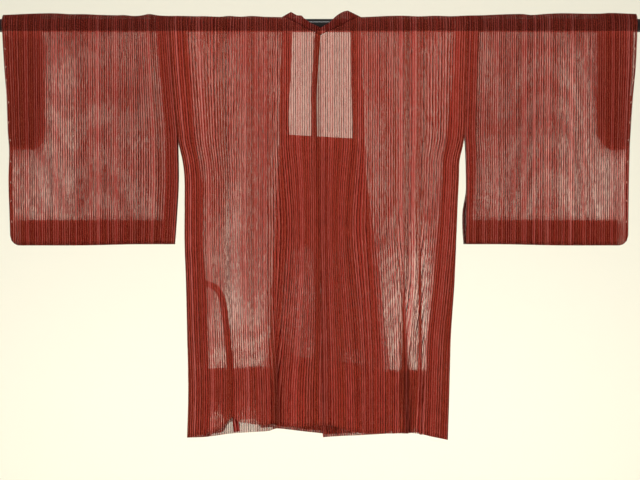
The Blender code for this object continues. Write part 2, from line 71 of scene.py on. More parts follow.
# Sizes of the rod and of the coat's pieces, which the solids have too
ROD_RADIUS = 0.014
ROD_HALF_LENGTH = 0.70
WALL = 0.0010
SEAM_GAP = 0.0003
INNER_PLY = WALL + SEAM_GAP
EDGE_CLEAR = 0.0010
CLOTH_RADIUS = 0.0166
CLOTH_OVER_ROD = math.pi * CLOTH_RADIUS
SEWN_GAP = 0.0032
EDGE_RUN = 0.080
UPPER_FRONT_STEP = 0.0014
UNDER_FRONT_STEP = -0.0024
FRONT_STEP_HEIGHT = -0.22

ARMHOLE_END = -0.229
CUFF_OPENING_END = -0.263
SLEEVE_TURNUP_TOP = -0.412
SLEEVE_HEM = -0.4625
CORNER_RADIUS = 0.021
WRIST_SEAM_WIDTH = 0.008
FACING_WIDTH = 0.080
TURNUP_DEPTH = 0.0017
WRIST_SEAM_RISE = 0.004

SIDE_SEAM_TOP = -0.253
HEM_TURNUP_TOP = -0.724
BACK_SEAM_ALLOWANCE = 0.012
BACK_NECK_HEIGHT = -0.024
COLLAR_WIDTH = 0.0234
COLLAR_GAP = 0.0005
WINDOW_SLOPE = -0.057
WINDOW_BOTTOM = -0.2335
TIE_HALF_WIDTH = 0.0065
TIE_CLEAR = 0.0045
TIE_ROW_HEIGHT = -0.545

# Finer sizes, which the scene alone has
ROD_SIDES = 96
ROD_RIM = 0.0006
SLEEVE_HEM_DROP = 0.0026
SLEEVE_HEM_DROP_START = 0.37
SLEEVE_HEM_DROP_RUN = 0.15
STITCH_RADIUS = 0.0006
STITCH_LENGTH = 0.0042
STITCH_STAND = 0.0005
STITCH_SIDES = 8
SEAM_TUCK = 0.007
PANEL_ALLOWANCE = 0.022
TIE_THICKNESS_SHARE = 0.7

# Above a cuff facing's cut corner, this many rows stay at least this far apart
FACING_CORNER_ROWS = 6
FACING_ROW_RISE = 0.0015

# How finely the cloth is laid out: places in from a sleeve's wrist edge, steps across the strips
# turned in at an edge and at the back seam, degrees over the rod and steps of the tie's curve
SLEEVE_EDGE_STOPS = (0.0, 0.003, 0.008, 0.018, 0.021, 0.050, 0.080)
TURNED_STEPS = 5
SEAM_STEPS = 2
TURN_STEP = 15
TIE_CURVE_STEPS = 8
TIE_TURN_STEP = 30

# Where each edge was when the stripes were set out along it, and how far in from it they follow
# its slant. At the wrist they follow it only in part.
SIDE_SET_OUT = 0.284
SIDE_REACH = 0.16
WRIST_SET_OUT = 0.658
WRIST_SHARE = 0.5
WRIST_REACH = 0.06
ARMHOLE_SET_OUT = 0.307
ARMHOLE_REACH = 0.12
PANEL_SET_OUT = -0.460

# How far along the bolt the smaller pieces are cut, so that their yarns wander in their own way
COLLAR_CUT = 3.0
PANEL_CUT = 5.0
TURNED_IN_CUT = 7.0
TIE_CUT = 9.0
HEM_TURNUP_CUT = 11.0

# Half widths of the sleeves by height: wrist edge, armhole edge and cloth turned in there
SLEEVE_SECTIONS = entries(
    "height left_wrist right_wrist left_inner right_inner left_turned right_turned",
    (0.000, 0.6690, 0.6675, 0.3185, 0.3120, 0.0255, 0.0240),
    (-0.090, 0.6640, 0.6640, 0.3130, 0.3095, 0.0255, 0.0230),
    (-0.150, 0.6600, 0.6590, 0.3080, 0.3080, 0.0240, 0.0220),
    (-0.229, 0.6585, 0.6550, 0.3010, 0.3060, 0.0245, 0.0215),
    (-0.263, 0.6565, 0.6540, 0.3000, 0.3080, 0.0255, 0.0215),
    (-0.330, 0.6580, 0.6525, 0.2990, 0.3095, 0.0265, 0.0180),
    (-0.412, 0.6555, 0.6515, 0.3030, 0.3090, 0.0265, 0.0120),
    (-0.4625, 0.6545, 0.6510, 0.3065, 0.3085, 0.0260, 0.0120),
)

# How far the right sleeve's front swings in under the arm, past its back
RIGHT_FRONT_SWING = entries(
    "height reach",
    (-0.340, 0.0000), (-0.355, 0.0008), (-0.392, 0.0072), (-0.425, 0.0074), (-0.4625, 0.0048),
)

# Where each cuff facing lies folded back from the wrist edge, so that the sleeve shows alone
FACING_SLITS = entries(
    "side start end low high",
    (LEFT, 0.008, 0.018, -0.058, -0.010),
    (LEFT, 0.008, 0.013, -0.085, -0.045),
    (RIGHT, 0.003, 0.008, -0.070, -0.010),
    (RIGHT, 0.003, 0.008, -0.150, -0.060),
)

# How each facing's lower inner corner is cut off: how wide, how high, and how far its inner edge
# stands nearer to the wrist at the rod and at its lower end, on the back and on the front
FacingCut = namedtuple("FacingCut", "width rise back_top back_low front_top front_low")
FACING_CUTS = {
    LEFT: FacingCut(0.022, 0.0190, 0.004, 0.007, 0.004, 0.008),
    RIGHT: FacingCut(0.036, 0.0280, 0.0, 0.011, 0.004, 0.015),
}

# Stitches along the wrist edges: height, place in from the edge and lean in degrees
STITCHES = entries(
    "height inset lean",
    (-0.052, 0.0040, 24), (-0.090, 0.0036, -12), (-0.118, 0.0024, 8), (-0.164, 0.0038, 18),
    (-0.206, 0.0030, -6), (-0.243, 0.0042, 10), (-0.288, 0.0036, 30), (-0.332, 0.0048, 4),
    (-0.371, 0.0040, -20), (-0.415, 0.0046, 12),
)

# Half widths of the body by height: side edge, seam of the front overlap, cloth turned in at the
# side. The centre back seam wanders, so its column is its place in X.
BODY_SECTIONS = entries(
    "height left_side right_side left_front right_front back_seam left_turned right_turned",
    (0.000, 0.3185, 0.3120, 0.0823, 0.0885, 0.0015, 0.0340, 0.0240),
    (-0.024, 0.3170, 0.3113, 0.0828, 0.0890, 0.0015, 0.0345, 0.0240),
    (-0.090, 0.3130, 0.3095, 0.0845, 0.0910, -0.0030, 0.0370, 0.0250),
    (-0.150, 0.3080, 0.3080, 0.0862, 0.0935, -0.0060, 0.0370, 0.0300),
    (-0.229, 0.3010, 0.3060, 0.0880, 0.0965, -0.0055, 0.0350, 0.0370),
    (-0.253, 0.2978, 0.3020, 0.0886, 0.0970, -0.0050, 0.0340, 0.0370),
    (-0.285, 0.2905, 0.2948, 0.0905, 0.0975, -0.0045, 0.0330, 0.0340),
    (-0.320, 0.2865, 0.2936, 0.0920, 0.1000, -0.0040, 0.0350, 0.0330),
    (-0.375, 0.2860, 0.2909, 0.0935, 0.1070, -0.0030, 0.0375, 0.0355),
    (-0.460, 0.2860, 0.2877, 0.0970, 0.1180, -0.0010, 0.0365, 0.0405),
    (-0.545, 0.2830, 0.2840, 0.1027, 0.1285, 0.0010, 0.0405, 0.0420),
    (-0.650, 0.2808, 0.2768, 0.1065, 0.1405, 0.0030, 0.0415, 0.0475),
    (-0.724, 0.2790, 0.2745, 0.1110, 0.1490, 0.0045, 0.0425, 0.0480),
    (-0.790, 0.2785, 0.2727, 0.1075, 0.1520, 0.0060, 0.0425, 0.0480),
    (-0.872, 0.2808, 0.2700, 0.1015, 0.1550, 0.0075, 0.0430, 0.0480),
)
LOWEST = BODY_SECTIONS[-1].height

# Distance of the cloth from the middle plane by height: of the body at its sewn edges, of a
# sleeve as it falls from the rod, and of its wrist edge
BODY_EDGE_GAPS = entries(
    "height gap",
    (0.000, CLOTH_RADIUS), (-0.229, 0.0100), (-0.253, 0.0058), (-0.285, 0.0036),
    (-0.320, SEWN_GAP),
)
SLEEVE_FALL = entries("height gap", (0.000, CLOTH_RADIUS), (-0.4625, SEWN_GAP))
WRIST_EDGE_GAPS = entries(
    "height gap",
    (0.000, CLOTH_RADIUS), (-0.150, 0.0115), (-0.229, 0.0065), (-0.263, 0.0036),
    (-0.330, SEWN_GAP),
)

# How far the cloth stands off the rod's top, from left to right: low humps between the places
# where it rests on the rod
SHOULDER_LIFTS = entries(
    "x lift",
    (-0.669, 0.0058), (-0.647, 0.0066), (-0.613, 0.0083), (-0.563, 0.0093), (-0.529, 0.0075),
    (-0.496, 0.0073), (-0.462, 0.0057), (-0.428, 0.0050), (-0.412, 0.0053), (-0.395, 0.0034),
    (-0.378, 0.0043), (-0.361, 0.0077), (-0.344, 0.0050), (-0.328, 0.0037), (-0.294, 0.0035),
    (-0.260, 0.0028), (-0.244, 0.0029), (-0.210, 0.0018), (-0.193, 0.0034), (-0.168, 0.0019),
    (-0.143, 0.0033), (-0.118, 0.0017), (-0.085, 0.0010), (0.085, 0.0010), (0.118, 0.0022),
    (0.143, 0.0034), (0.176, 0.0039), (0.210, 0.0026), (0.244, 0.0038), (0.277, 0.0029),
    (0.311, 0.0044), (0.344, 0.0050), (0.378, 0.0066), (0.428, 0.0077), (0.445, 0.0056),
    (0.479, 0.0081), (0.512, 0.0094), (0.563, 0.0085), (0.596, 0.0088), (0.613, 0.0100),
    (0.664, 0.0080),
)

# The hems from left to right
BACK_HEM = entries(
    "x height",
    (-0.281, -0.8715), (-0.233, -0.8600), (-0.214, -0.8530), (-0.199, -0.8420),
    (-0.184, -0.8240), (-0.172, -0.8340), (-0.160, -0.8370), (-0.134, -0.8410),
    (-0.099, -0.8410), (-0.042, -0.8450), (0.027, -0.8430), (0.038, -0.8475), (0.057, -0.8525),
    (0.084, -0.8590), (0.174, -0.8600), (0.200, -0.8600), (0.239, -0.8690), (0.270, -0.8760),
)
FRONT_HEM = entries(
    "x height",
    (-0.281, -0.8720), (-0.233, -0.8710), (-0.160, -0.8640), (-0.103, -0.8600),
    (-0.099, -0.8550), (-0.030, -0.8620), (0.0040, -0.8656), (0.0056, -0.8660),
    (0.0064, -0.8740), (0.0080, -0.8740), (0.080, -0.8700), (0.151, -0.8660), (0.200, -0.8640),
    (0.270, -0.8760),
)

# Where the front hem steps down at the middle, and how much higher the under front ends
HEM_STEP = (0.0056, 0.0064)
UNDER_FRONT_HEM_RISE = 0.006

# The soft folds: where each starts and meets the hem, and how far it stands out
FOLDS = entries(
    "face top_x hem_x top_height half_width depth",
    (BACK, -0.176, -0.182, -0.700, 0.040, 0.0060),
    (BACK, -0.100, -0.094, -0.560, 0.026, -0.0045),
    (BACK, 0.055, 0.045, -0.500, 0.040, 0.0030),
    (BACK, 0.172, 0.182, -0.460, 0.024, -0.0050),
    (BACK, 0.206, 0.218, -0.440, 0.022, -0.0040),
    (FRONT, -0.185, -0.190, -0.520, 0.040, 0.0050),
    (FRONT, 0.030, 0.040, -0.450, 0.045, 0.0030),
    (FRONT, 0.205, 0.210, -0.480, 0.035, 0.0050),
)

# Narrow pleats of the back, where the cloth lies three deep: centre at the top and at the hem,
# height where each is full, the run over which it fades above, how far its edges pass each
# other and how far it stands out
PLEATS = entries(
    "side top_x hem_x half_width full_height fade overlap stand",
    (RIGHT, 0.170, 0.180, 0.0140, -0.740, 0.420, 0.0110, 0.0040),
    (RIGHT, 0.206, 0.212, 0.0090, -0.560, 0.260, 0.0055, 0.0032),
    (LEFT, -0.094, -0.092, 0.0120, -0.800, 0.300, 0.0080, 0.0036),
)

# Columns across a pleat, in half widths, and where its upper layer starts and ends
HALF_PLEAT_STOPS = (0.14, 0.28, 0.37, 0.46, 0.57, 0.70, 0.85, 1.0)
PLEAT_STOPS = (*[-stop for stop in reversed(HALF_PLEAT_STOPS)], 0.0, *HALF_PLEAT_STOPS)
PLEAT_EDGE = 0.37

# How a pleat lies: the share of its stand that its under layer keeps, how much further than its
# overlap its edges pass, the share of the overlap that the stripes lose, and how that loss eases
# off beside it
UNDER_LAYER_STAND = 0.12
PLEAT_PASS = 0.001
PLEAT_TAKE = 0.9
PLEAT_EASE = 0.6
PLEAT_EASE_RUN = 0.12

# Where the middle columns of the back start, counted from the centre, and the height and the run
# in which they gather at the pleats
MIDDLE_START = 0.25
GATHER_TOP = -0.05
GATHER_RUN = 0.15

# Small waves of the hanging cloth: how many to a metre across and along it, how far apart in the
# noise those of the two faces are, the share of the short ones, the run under the rod in which
# they start, and the share of them on the overlaps
LONG_WAVES = (24, 4)
LONG_WAVES_APART = 9.7
SHORT_WAVES = (62, 13)
SHORT_WAVES_APART = 4.1
SHORT_WAVES_START = 30
SHORT_WAVES_SHARE = 0.4
RIPPLE_RUN = 0.05
PANEL_RIPPLE_SHARE = 0.5

# Painted shade in narrow columns of the back where many layers lie on each other, so that the cloth
# looks darker
CREASE_SHADES = entries(
    "top_x hem_x half_width top_height full_height tone",
    (0.180, 0.185, 0.0095, -0.600, -0.730, 0.40),
    (0.174, 0.174, 0.004, -0.440, -0.560, 0.66),
    (0.208, 0.212, 0.004, -0.420, -0.520, 0.70),
    (-0.090, -0.091, 0.009, -0.660, -0.730, 0.48),
    (-0.212, -0.216, 0.010, -0.740, -0.780, 0.80),
    (0.096, 0.104, 0.007, -0.690, -0.760, 0.74),
    (0.0085, 0.012, 0.009, -0.234, -0.262, 0.76),
)

# Creases lie on the back's side of this depth, and fade out past their half width
CREASE_REST = 0.002
CREASE_EDGE = 1.5

# Patches of painted light and painted shade: paler and more open on the lower body, the sleeves and the
# hems, where more light comes through from behind, and darker with painted shade at the cuffs, near the
# armholes, in the sleeves' lower bands, down the back seam and over the shoulder crest. Its left and
# right, its top, where it is full and where it ends below, and by how much
LIGHT_AND_SHADE_PATCHES = entries(
    "left right top full low share",
    (-0.232, -0.118, -0.360, -0.600, -0.719, 0.21),
    (0.132, 0.228, -0.360, -0.600, -0.724, 0.30),
    (-0.625, -0.345, -0.120, -0.340, -0.409, 0.07),
    (0.345, 0.620, -0.120, -0.340, -0.409, 0.10),
    (-0.058, -0.016, -0.470, -0.560, -0.719, 0.15),
    (0.048, 0.090, -0.680, -0.695, -0.719, 0.24),
    (-0.233, -0.203, -0.780, -0.800, -0.845, 0.36),
    (-0.170, -0.134, -0.780, -0.800, -0.837, 0.14),
    (-0.200, -0.172, -0.812, -0.822, -0.880, 0.22),
    (-0.170, -0.134, -0.838, -0.846, -0.880, 0.22),
    (0.150, 0.176, -0.800, -0.825, -0.860, 0.20),
    (0.198, 0.222, -0.790, -0.825, -0.862, 0.16),
    (-0.0165, 0.002, -0.020, -0.030, -0.228, -0.30),
    (-0.584, -0.515, -0.020, -0.060, -0.409, 0.18),
    (-0.650, -0.578, -0.262, -0.300, -0.409, 0.20),
    (0.504, 0.585, -0.020, -0.060, -0.409, 0.17),
    (0.582, 0.645, -0.255, -0.290, -0.409, 0.28),
    (-0.203, -0.168, -0.250, -0.420, -0.640, 0.22),
    (-0.203, -0.168, -0.010, -0.030, -0.110, 0.12),
    (0.198, 0.236, -0.440, -0.490, -0.640, 0.16),
    (0.176, 0.198, -0.650, -0.685, -0.724, 0.22),
    (0.048, 0.100, -0.728, -0.745, -0.880, 0.24),
    (-0.068, -0.030, -0.722, -0.740, -0.850, 0.16),
    (-0.440, -0.345, -0.110, -0.150, -0.230, -0.10),
    (0.345, 0.430, -0.100, -0.140, -0.230, -0.08),
    (-0.345, -0.295, -0.060, -0.100, -0.400, -0.08),
    (-0.680, -0.085, 0.060, 0.050, 0.012, -0.35),
    (0.085, 0.680, 0.060, 0.050, 0.012, -0.35),
    (-0.670, -0.602, -0.015, -0.035, -0.252, -0.36),
    (-0.602, -0.581, -0.015, -0.035, -0.236, -0.36),
    (0.604, 0.670, -0.015, -0.035, -0.252, -0.30),
    (0.584, 0.604, -0.015, -0.035, -0.228, -0.30),
    (-0.670, -0.310, -0.400, -0.414, -0.470, -0.18),
    (0.310, 0.670, -0.400, -0.414, -0.470, -0.18),
)
PATCH_EDGE = 0.009

# The back's stripes lean towards the centre seam and out again below it
LEAN = 0.012
LEAN_REACH = 0.120
LEAN_SHARES = entries(
    "height share",
    (-0.255, 0.00), (-0.330, 0.55), (-0.420, 1.00), (-0.500, 0.80), (-0.640, 0.12),
    (-0.760, -0.25), (-0.872, -0.35),
)

# How far the turned-up hems are drawn up at their lower edges
HITCHES = entries(
    "x back front",
    (-0.260, 0.000, 0.000), (-0.236, 0.004, 0.000), (-0.228, 0.040, 0.005),
    (-0.206, 0.030, 0.007), (-0.198, 0.002, 0.020), (-0.178, 0.004, 0.030),
    (-0.166, 0.030, 0.028), (-0.136, 0.032, 0.026), (-0.128, 0.003, 0.010),
    (-0.104, 0.000, 0.008), (-0.096, 0.000, 0.001), (0.150, 0.000, 0.002),
    (0.190, 0.003, 0.014), (0.230, 0.000, 0.002), (0.270, 0.000, 0.000),
)

# How far the upper edges of the turned-up hems lie below their solids'
HEM_TOPS = entries(
    "x drop",
    (-0.280, 0.0020), (-0.190, 0.0020), (-0.120, -0.0010), (0.050, 0.0010), (0.140, 0.0060),
    (0.280, 0.0065),
)

# The collar's free edge over the rod, by the cloth's turn over it
NECK_EDGE = entries(
    "turn left_x right_x y left_height right_height",
    (0, -0.0200, 0.0205, -0.0168, 0.0025, 0.0035),
    (30, -0.0335, 0.0310, -0.0148, 0.0125, 0.0145),
    (45, -0.0385, 0.0365, -0.0125, 0.0186, 0.0195),
    (60, -0.0480, 0.0430, -0.0090, 0.0196, 0.0245),
    (75, -0.0555, 0.0505, -0.0048, 0.0245, 0.0290),
    (90, -0.0610, 0.0580, 0.0000, 0.0285, 0.0315),
    (120, -0.0600, 0.0610, 0.0090, 0.0225, 0.0245),
    (150, -0.0590, 0.0640, 0.0150, 0.0105, 0.0115),
    (180, -0.0586, 0.0658, 0.0166, 0.0000, 0.0000),
)
BACK_NECK_DIP = -0.008
BACK_NECK_EDGE = entries(
    "turn left right",
    (0, 0.0440, 0.0480), (30, 0.0600, 0.0640), (60, 0.0720, 0.0770), (90, 0.0800, 0.0860),
    (180, 0.0823, 0.0885),
)

# Points across each leaf of the collar, in shares of its width, and how round its fold is
LEAF_STOPS = (0.0, 0.25, 0.5, 0.75, 0.92)
FOLD_TIP = 0.97
TIP_GAP_SHARE = 0.7

# The free edge down the square neckline's sides, and how its lower corners are mitred
NECK_SIDES = entries(
    "height left right",
    (0.000, 0.0586, 0.0658), (-0.090, 0.0620, 0.0665), (-0.190, 0.0670, 0.0685),
    (-0.240, 0.0645, 0.0699),
)
COLLAR_MITRE = 0.85
COLLAR_LOW_STEP = 0.02

# Free edges of the overlapping front panels, and where the leaf folded back inside each one ends
OVERLAP_EDGES = entries(
    "height left_panel right_panel left_leaf right_leaf",
    (-0.253, 0.0920, -0.0820, -0.0860, 0.0940),
    (-0.440, 0.1070, -0.0875, -0.0930, 0.1120),
    (-0.475, 0.1090, -0.0883, -0.0150, -0.0580),
    (-0.700, 0.1320, -0.0985, -0.0120, -0.0540),
    (-0.724, 0.1340, -0.0990, -0.1000, 0.1450),
    (-0.872, 0.1400, -0.0930, -0.1000, 0.1500),
)

# The panels' rows slope with the collar above this height. Then how round their fold is, the
# steps across the seam allowance, and the middle of a leaf that doesn't cross the hem's step.
LEVEL_BELOW = -0.285
LEAF_TIP = 0.8
PANEL_SEAM_STEPS = 2
MIDDLE_SHARES = (0.49, 0.51)

# The tie hangs from the left side seam inside the coat
TIE_PATH = entries(
    "x height lean",
    (-0.232, -0.548, 12), (-0.216, -0.558, 40), (-0.204, -0.584, 66), (-0.197, -0.638, 84),
    (-0.191, -0.697, 84), (-0.184, -0.779, 82), (-0.1745, -0.856, 80),
)

# A row of the cloth lies at a height on one face, or at a turn over the rod in degrees. A sheet
# holds its rows, and for each row its points and their flat places on the bolt.
Row = namedtuple("Row", "face height turn")
Sheet = namedtuple("Sheet", "rows points flat")

# Each gauze: the share of its lightness that its yarns keep, which darkens copies of one gauze with
# painted shade where layers lie on each other and on the sleeves, and how many layers of cloth its
# shell stands for
Gauze = namedtuple("Gauze", "name shade plies")
BODY_GAUZE = Gauze("Striped Gauze", 1.0, 1.0)
TURNED_IN_GAUZE = Gauze("Turned In Gauze", 0.86, 1.35)
BACK_SEAM_GAUZE = Gauze("Back Seam Gauze", 0.5, 7.0)
SLEEVE_GAUZE = Gauze("Sleeve Gauze", 0.88, 1.0)
SLEEVE_TURNED_IN_GAUZE = Gauze("Sleeve Turned In Gauze", 0.22, 1.6)
COLLAR_GAUZE = Gauze("Collar Gauze", 0.82, 2.0)
OVERLAP_GAUZE = Gauze("Overlap Gauze", 1.0, 1.0)
TIE_GAUZE = Gauze("Tie Gauze", 0.7, 3.0)

# How the share of light that the cloth stops changes with its painted light and shade: paler cloth is
# more open
COVER_BY_TONE = -0.5

# The rod's enamel, its wear in waves to a metre along and across it, and the pale thread
WEAR_TO_METRE = (6.0, 60.0, 60.0)
ENAMEL_ROUGHNESS = (0.05, 0.10)
ENAMEL_COLOURS = ((0.007, 0.007, 0.008, 1.0), (0.016, 0.015, 0.015, 1.0))
THREAD_COLOUR = (0.62, 0.40, 0.33, 1.0)

# The paper sweep: its floor's front edge, its top, its half width and its bend
FLOOR_FRONT = -2.4
WALL_TOP = 3.4
SWEEP_HALF_WIDTH = 3.2
BEND = 0.20
BEND_FLAT = 0.01
BEND_TURN = 15

LAMPS = entries(
    "name place aim size",
    ("key", (0.0, -1.95, 2.78), (0.0, 0.0, -0.30), (3.6, 0.17)),
    ("wall_light", (0.0, 0.25, -1.05), (0.0, 1.6, -1.15), (3.4, 0.9)),
)
LAMP_COLOUR = (1.0, 0.985, 0.95)
SKY_COLOUR = (1.0, 0.975, 0.90, 1.0)

# The yarns' slow wander and quick waver, in waves to a metre across and along the bolt. The
# stripes come in threes, each narrower than the one before and a little uneven, with soft edges.
YARNS = ("Red", "Dark", "Brown", "Pale", "Thin")
YARN_WAVES = (("Wander", 8.0, 1.2), ("Waver", 380.0, 60.0))
STRIPES_IN_TURN = 3.0
WIDEST = 1.42
NEXT_NARROWER = -0.50
UNEVEN = 0.16
STRIPE_SOFTNESS = 0.07

# What makes a stripe's tone, the tones over which it turns from dark to red and from red to pale,
# the chances over which it turns brown, and how far the weft closes the open gauze
GROUPS_TO_METRE = 80.0
TONE_BY_GROUP = 2.1
TONE_BY_TURN = 0.50
TONE_BY_CHANCE = 0.50
RED_TONES = (1.41, 2.11)
PALE_TONES = (2.05, 2.50)
BROWN_CHANCES = (0.55, 0.95)
BROWN_SHARE = 0.6
WEFT_EDGE = (0.20, 0.12)
WEFT_COVER = 0.30


class CoatCloth(bpy.types.PropertyGroup):
    """Sizes of the cloth and of its layout."""

    thickness: FloatProperty(
        name="Thickness", description="Thickness of one ply", default=0.0004, unit="LENGTH"
    )
    row_step: FloatProperty(
        name="Row Step", description="Longest distance between rows", default=0.012, unit="LENGTH"
    )
    column_step: FloatProperty(
        name="Column Step", description="Distance between columns", default=0.008, unit="LENGTH"
    )
    ripple: FloatProperty(
        name="Ripple", description="Depth of the small waves", default=0.0011, unit="LENGTH"
    )
    leaf_gap: FloatProperty(
        name="Leaf Gap",
        description="Distance between the two leaves of a folded strip",
        default=0.0012,
        unit="LENGTH",
    )


class CoatStripes(bpy.types.PropertyGroup):
    """The stripes of the gauze."""

    pitch: FloatProperty(
        name="Pitch", description="Distance between stripes", default=0.00160, unit="LENGTH"
    )
    open_share: FloatProperty(
        name="Open Share",
        description="Share of a stripe that is open gauze",
        default=0.44,
        subtype="FACTOR",
    )
    wander: FloatProperty(
        name="Wander", description="How far the yarns wander sideways", default=0.0050, unit="LENGTH"
    )
    waver: FloatProperty(
        name="Waver", description="How far single yarns waver", default=0.0011, unit="LENGTH"
    )
    dense_cover: FloatProperty(
        name="Dense Cover",
        description="Share of light that one face of the dense stripe stops",
        default=0.84,
        subtype="FACTOR",
    )
    open_cover: FloatProperty(
        name="Open Cover",
        description="Share of light that one face of the open stripe stops",
        default=0.18,
        subtype="FACTOR",
    )
    red: FloatVectorProperty(
        name="Red Yarn",
        description="Colour of the red stripes",
        default=(0.42, 0.030, 0.028),
        subtype="COLOR",
    )
    dark: FloatVectorProperty(
        name="Dark Yarn",
        description="Colour of the dark stripes",
        default=(0.112, 0.005, 0.0035),
        subtype="COLOR",
    )
    brown: FloatVectorProperty(
        name="Brown Yarn",
        description="Colour of the brown stripes and the weft",
        default=(0.22, 0.032, 0.017),
        subtype="COLOR",
    )
    pale: FloatVectorProperty(
        name="Pale Yarn",
        description="Colour of the fine pale lines",
        default=(0.74, 0.205, 0.190),
        subtype="COLOR",
    )
    # The thin yarns' own red, made brighter with painted light for the light from behind that passes
    # through them
    thin: FloatVectorProperty(
        name="Thin Yarn",
        description="Colour of the thin yarns of the open gauze",
        default=(0.74, 0.105, 0.052),
        subtype="COLOR",
    )
    # Painted shade on the cloth over the rod and the shoulder crest, darker than the rod showing
    # through makes it
    painted_rod_shade: FloatProperty(
        name="Rod Shade",
        description="Share of their lightness that the yarns keep where the rod shows through",
        default=0.47,
        subtype="FACTOR",
    )


class CoatStudio(bpy.types.PropertyGroup):
    """The backdrop, the lights and the camera."""

    paper: FloatVectorProperty(
        name="Paper", description="Colour of the backdrop", default=(0.88, 0.865, 0.76), subtype="COLOR"
    )
    wall_distance: FloatProperty(
        name="Wall Distance", description="From the rod to the backdrop", default=1.60, unit="LENGTH"
    )
    floor_height: FloatProperty(
        name="Floor Height", description="Height of the floor", default=-1.62, unit="LENGTH"
    )
    key_power: FloatProperty(
        name="Key Power", description="Power of the long light over the camera", default=108.0
    )
    wall_power: FloatProperty(
        name="Wall Power", description="Power of the light on the backdrop", default=15.0
    )
    sky: FloatProperty(name="Sky", description="Strength of the light all round", default=0.40)
    camera_distance: FloatProperty(
        name="Camera Distance", description="From the rod to the camera", default=2.30, unit="LENGTH"
    )
    camera_height: FloatProperty(
        name="Camera Height", description="Height of the camera", default=-0.4536, unit="LENGTH"
    )
    frame_width: FloatProperty(
        name="Frame Width",
        description="Width that the camera sees at the coat's back",
        default=1.344,
        unit="LENGTH",
    )


@functools.lru_cache(maxsize=None)
def ordered(table):
    return tuple(sorted(table, key=lambda row: row[0]))


def read(table, column, value):
    """The named column of a table at a value of its first column, on a smooth curve."""
    rows = ordered(table)
    value = min(max(value, rows[0][0]), rows[-1][0])
    last = len(rows) - 1
    low = next(n for n in range(last) if value <= rows[n + 1][0])
    start, end = rows[low], rows[low + 1]
    before, after = rows[max(low - 1, 0)], rows[min(low + 2, last)]
    span = end[0] - start[0]
    share = (value - start[0]) / span
    first, second = getattr(start, column), getattr(end, column)
    rise = (second - getattr(before, column)) / (end[0] - before[0]) * span
    fall = (getattr(after, column) - first) / (after[0] - start[0]) * span
    ease = share * share * (3 - 2 * share)
    return (
        first * (1 - ease)
        + second * ease
        + rise * share * (1 - share) ** 2
        - fall * share * share * (1 - share)
    )


def smooth(share):
    """A rise from 0 to 1 with level ends."""
    share = min(max(share, 0.0), 1.0)
    return share * share * (3 - 2 * share)


def mix(start, end, share):
    return start + (end - start) * share


def side_name(side):
    return "left" if side == LEFT else "right"


def refine(stops, step):
    """Stops with evenly spaced ones added, so that none is further than a step from the next."""
    fine = [stops[0]]
    for start, end in zip(stops, stops[1:]):
        parts = max(1, math.ceil(abs(end - start) / step - 0.01))
        fine += [mix(start, end, part / parts) for part in range(1, parts + 1)]
    return fine


def spread(start, end, count):
    """Evenly spaced values between two others, without them."""
    return [mix(start, end, (step + 1) / (count + 1)) for step in range(count)]


def long_rows(sections, step):
    """Rows from the back's lowest height over the rod to the front's lowest height."""
    fine = refine(sorted(section.height for section in sections), step)[:-1]
    turns = refine([0, 180], TURN_STEP)
    back = [Row(BACK, height, None) for height in fine]
    over = [Row(None, 0.0, turn) for turn in turns]
    return back + over + [Row(FRONT, height, None) for height in reversed(fine)]


def row_of(rows, face, height):
    """The number of the row at a height on one face."""
    for number, row in enumerate(rows):
        if row.turn is None and row.face == face and abs(row.height - height) < SEAM_GAP:
            return number
    raise ValueError(f"no row at {height} on face {face}")


def column_of(stops, value):
    """The number of the stop nearest to a value."""
    return min(range(len(stops)), key=lambda number: abs(stops[number] - value))


def fold_depth(face, x, height):
    """How far the soft folds push a face of the body outwards at a point."""
    depth = 0.0
    for fold in FOLDS:
        if fold.face != face:
            continue
        drop = (height - fold.top_height) / (BACK_HEM[0].height - fold.top_height)
        middle = mix(fold.top_x, fold.hem_x, min(max(drop, 0.0), 1.0))
        across = abs(x - middle) / fold.half_width
        depth += fold.depth * smooth(drop) * smooth(1 - across)
    return depth


def ripple(face, x, height, depth):
    """The small waves of hanging cloth: long streaks, with shorter ones between them."""
    across, down = LONG_WAVES
    long_wave = noise.noise(Vector((x * across, height * down, face * LONG_WAVES_APART)))
    across, down = SHORT_WAVES
    layer = face * SHORT_WAVES_APART + SHORT_WAVES_START
    short_wave = noise.noise(Vector((x * across, height * down, layer)))
    return depth * (long_wave + SHORT_WAVES_SHARE * short_wave) * smooth(-height / RIPPLE_RUN)


def body_gap(side, face, x, height):
    """Distance of a body face from the middle plane."""
    edge = abs(x - side * read(BODY_SECTIONS, side_name(side) + "_side", height))
    middle = CLOTH_RADIUS
    if face == FRONT:
        seam = read(BODY_SECTIONS, side_name(side) + "_front", height)
        step = UPPER_FRONT_STEP if side == LEFT else UNDER_FRONT_STEP
        middle += step * smooth(1 - (abs(x) - seam) / EDGE_RUN) * smooth(height / FRONT_STEP_HEIGHT)
    sewn = read(BODY_EDGE_GAPS, "gap", height)
    return mix(sewn, middle, smooth(edge / EDGE_RUN)) + fold_depth(face, x, height)


def sleeve_gap(x, wrist, height):
    """Distance of a sleeve face from the middle plane."""
    fall = read(SLEEVE_FALL, "gap", height)
    sewn = read(WRIST_EDGE_GAPS, "gap", height)
    return mix(sewn, fall, smooth(abs(abs(x) - wrist) / EDGE_RUN))


def over_rod(x, turn):
    """A point of cloth bent over the rod, at an angle from its back to its front."""
    crest = CLOTH_RADIUS + read(SHOULDER_LIFTS, "lift", x)
    angle = math.radians(turn)
    return Vector((x, -CLOTH_RADIUS * math.cos(angle), crest * math.sin(angle)))


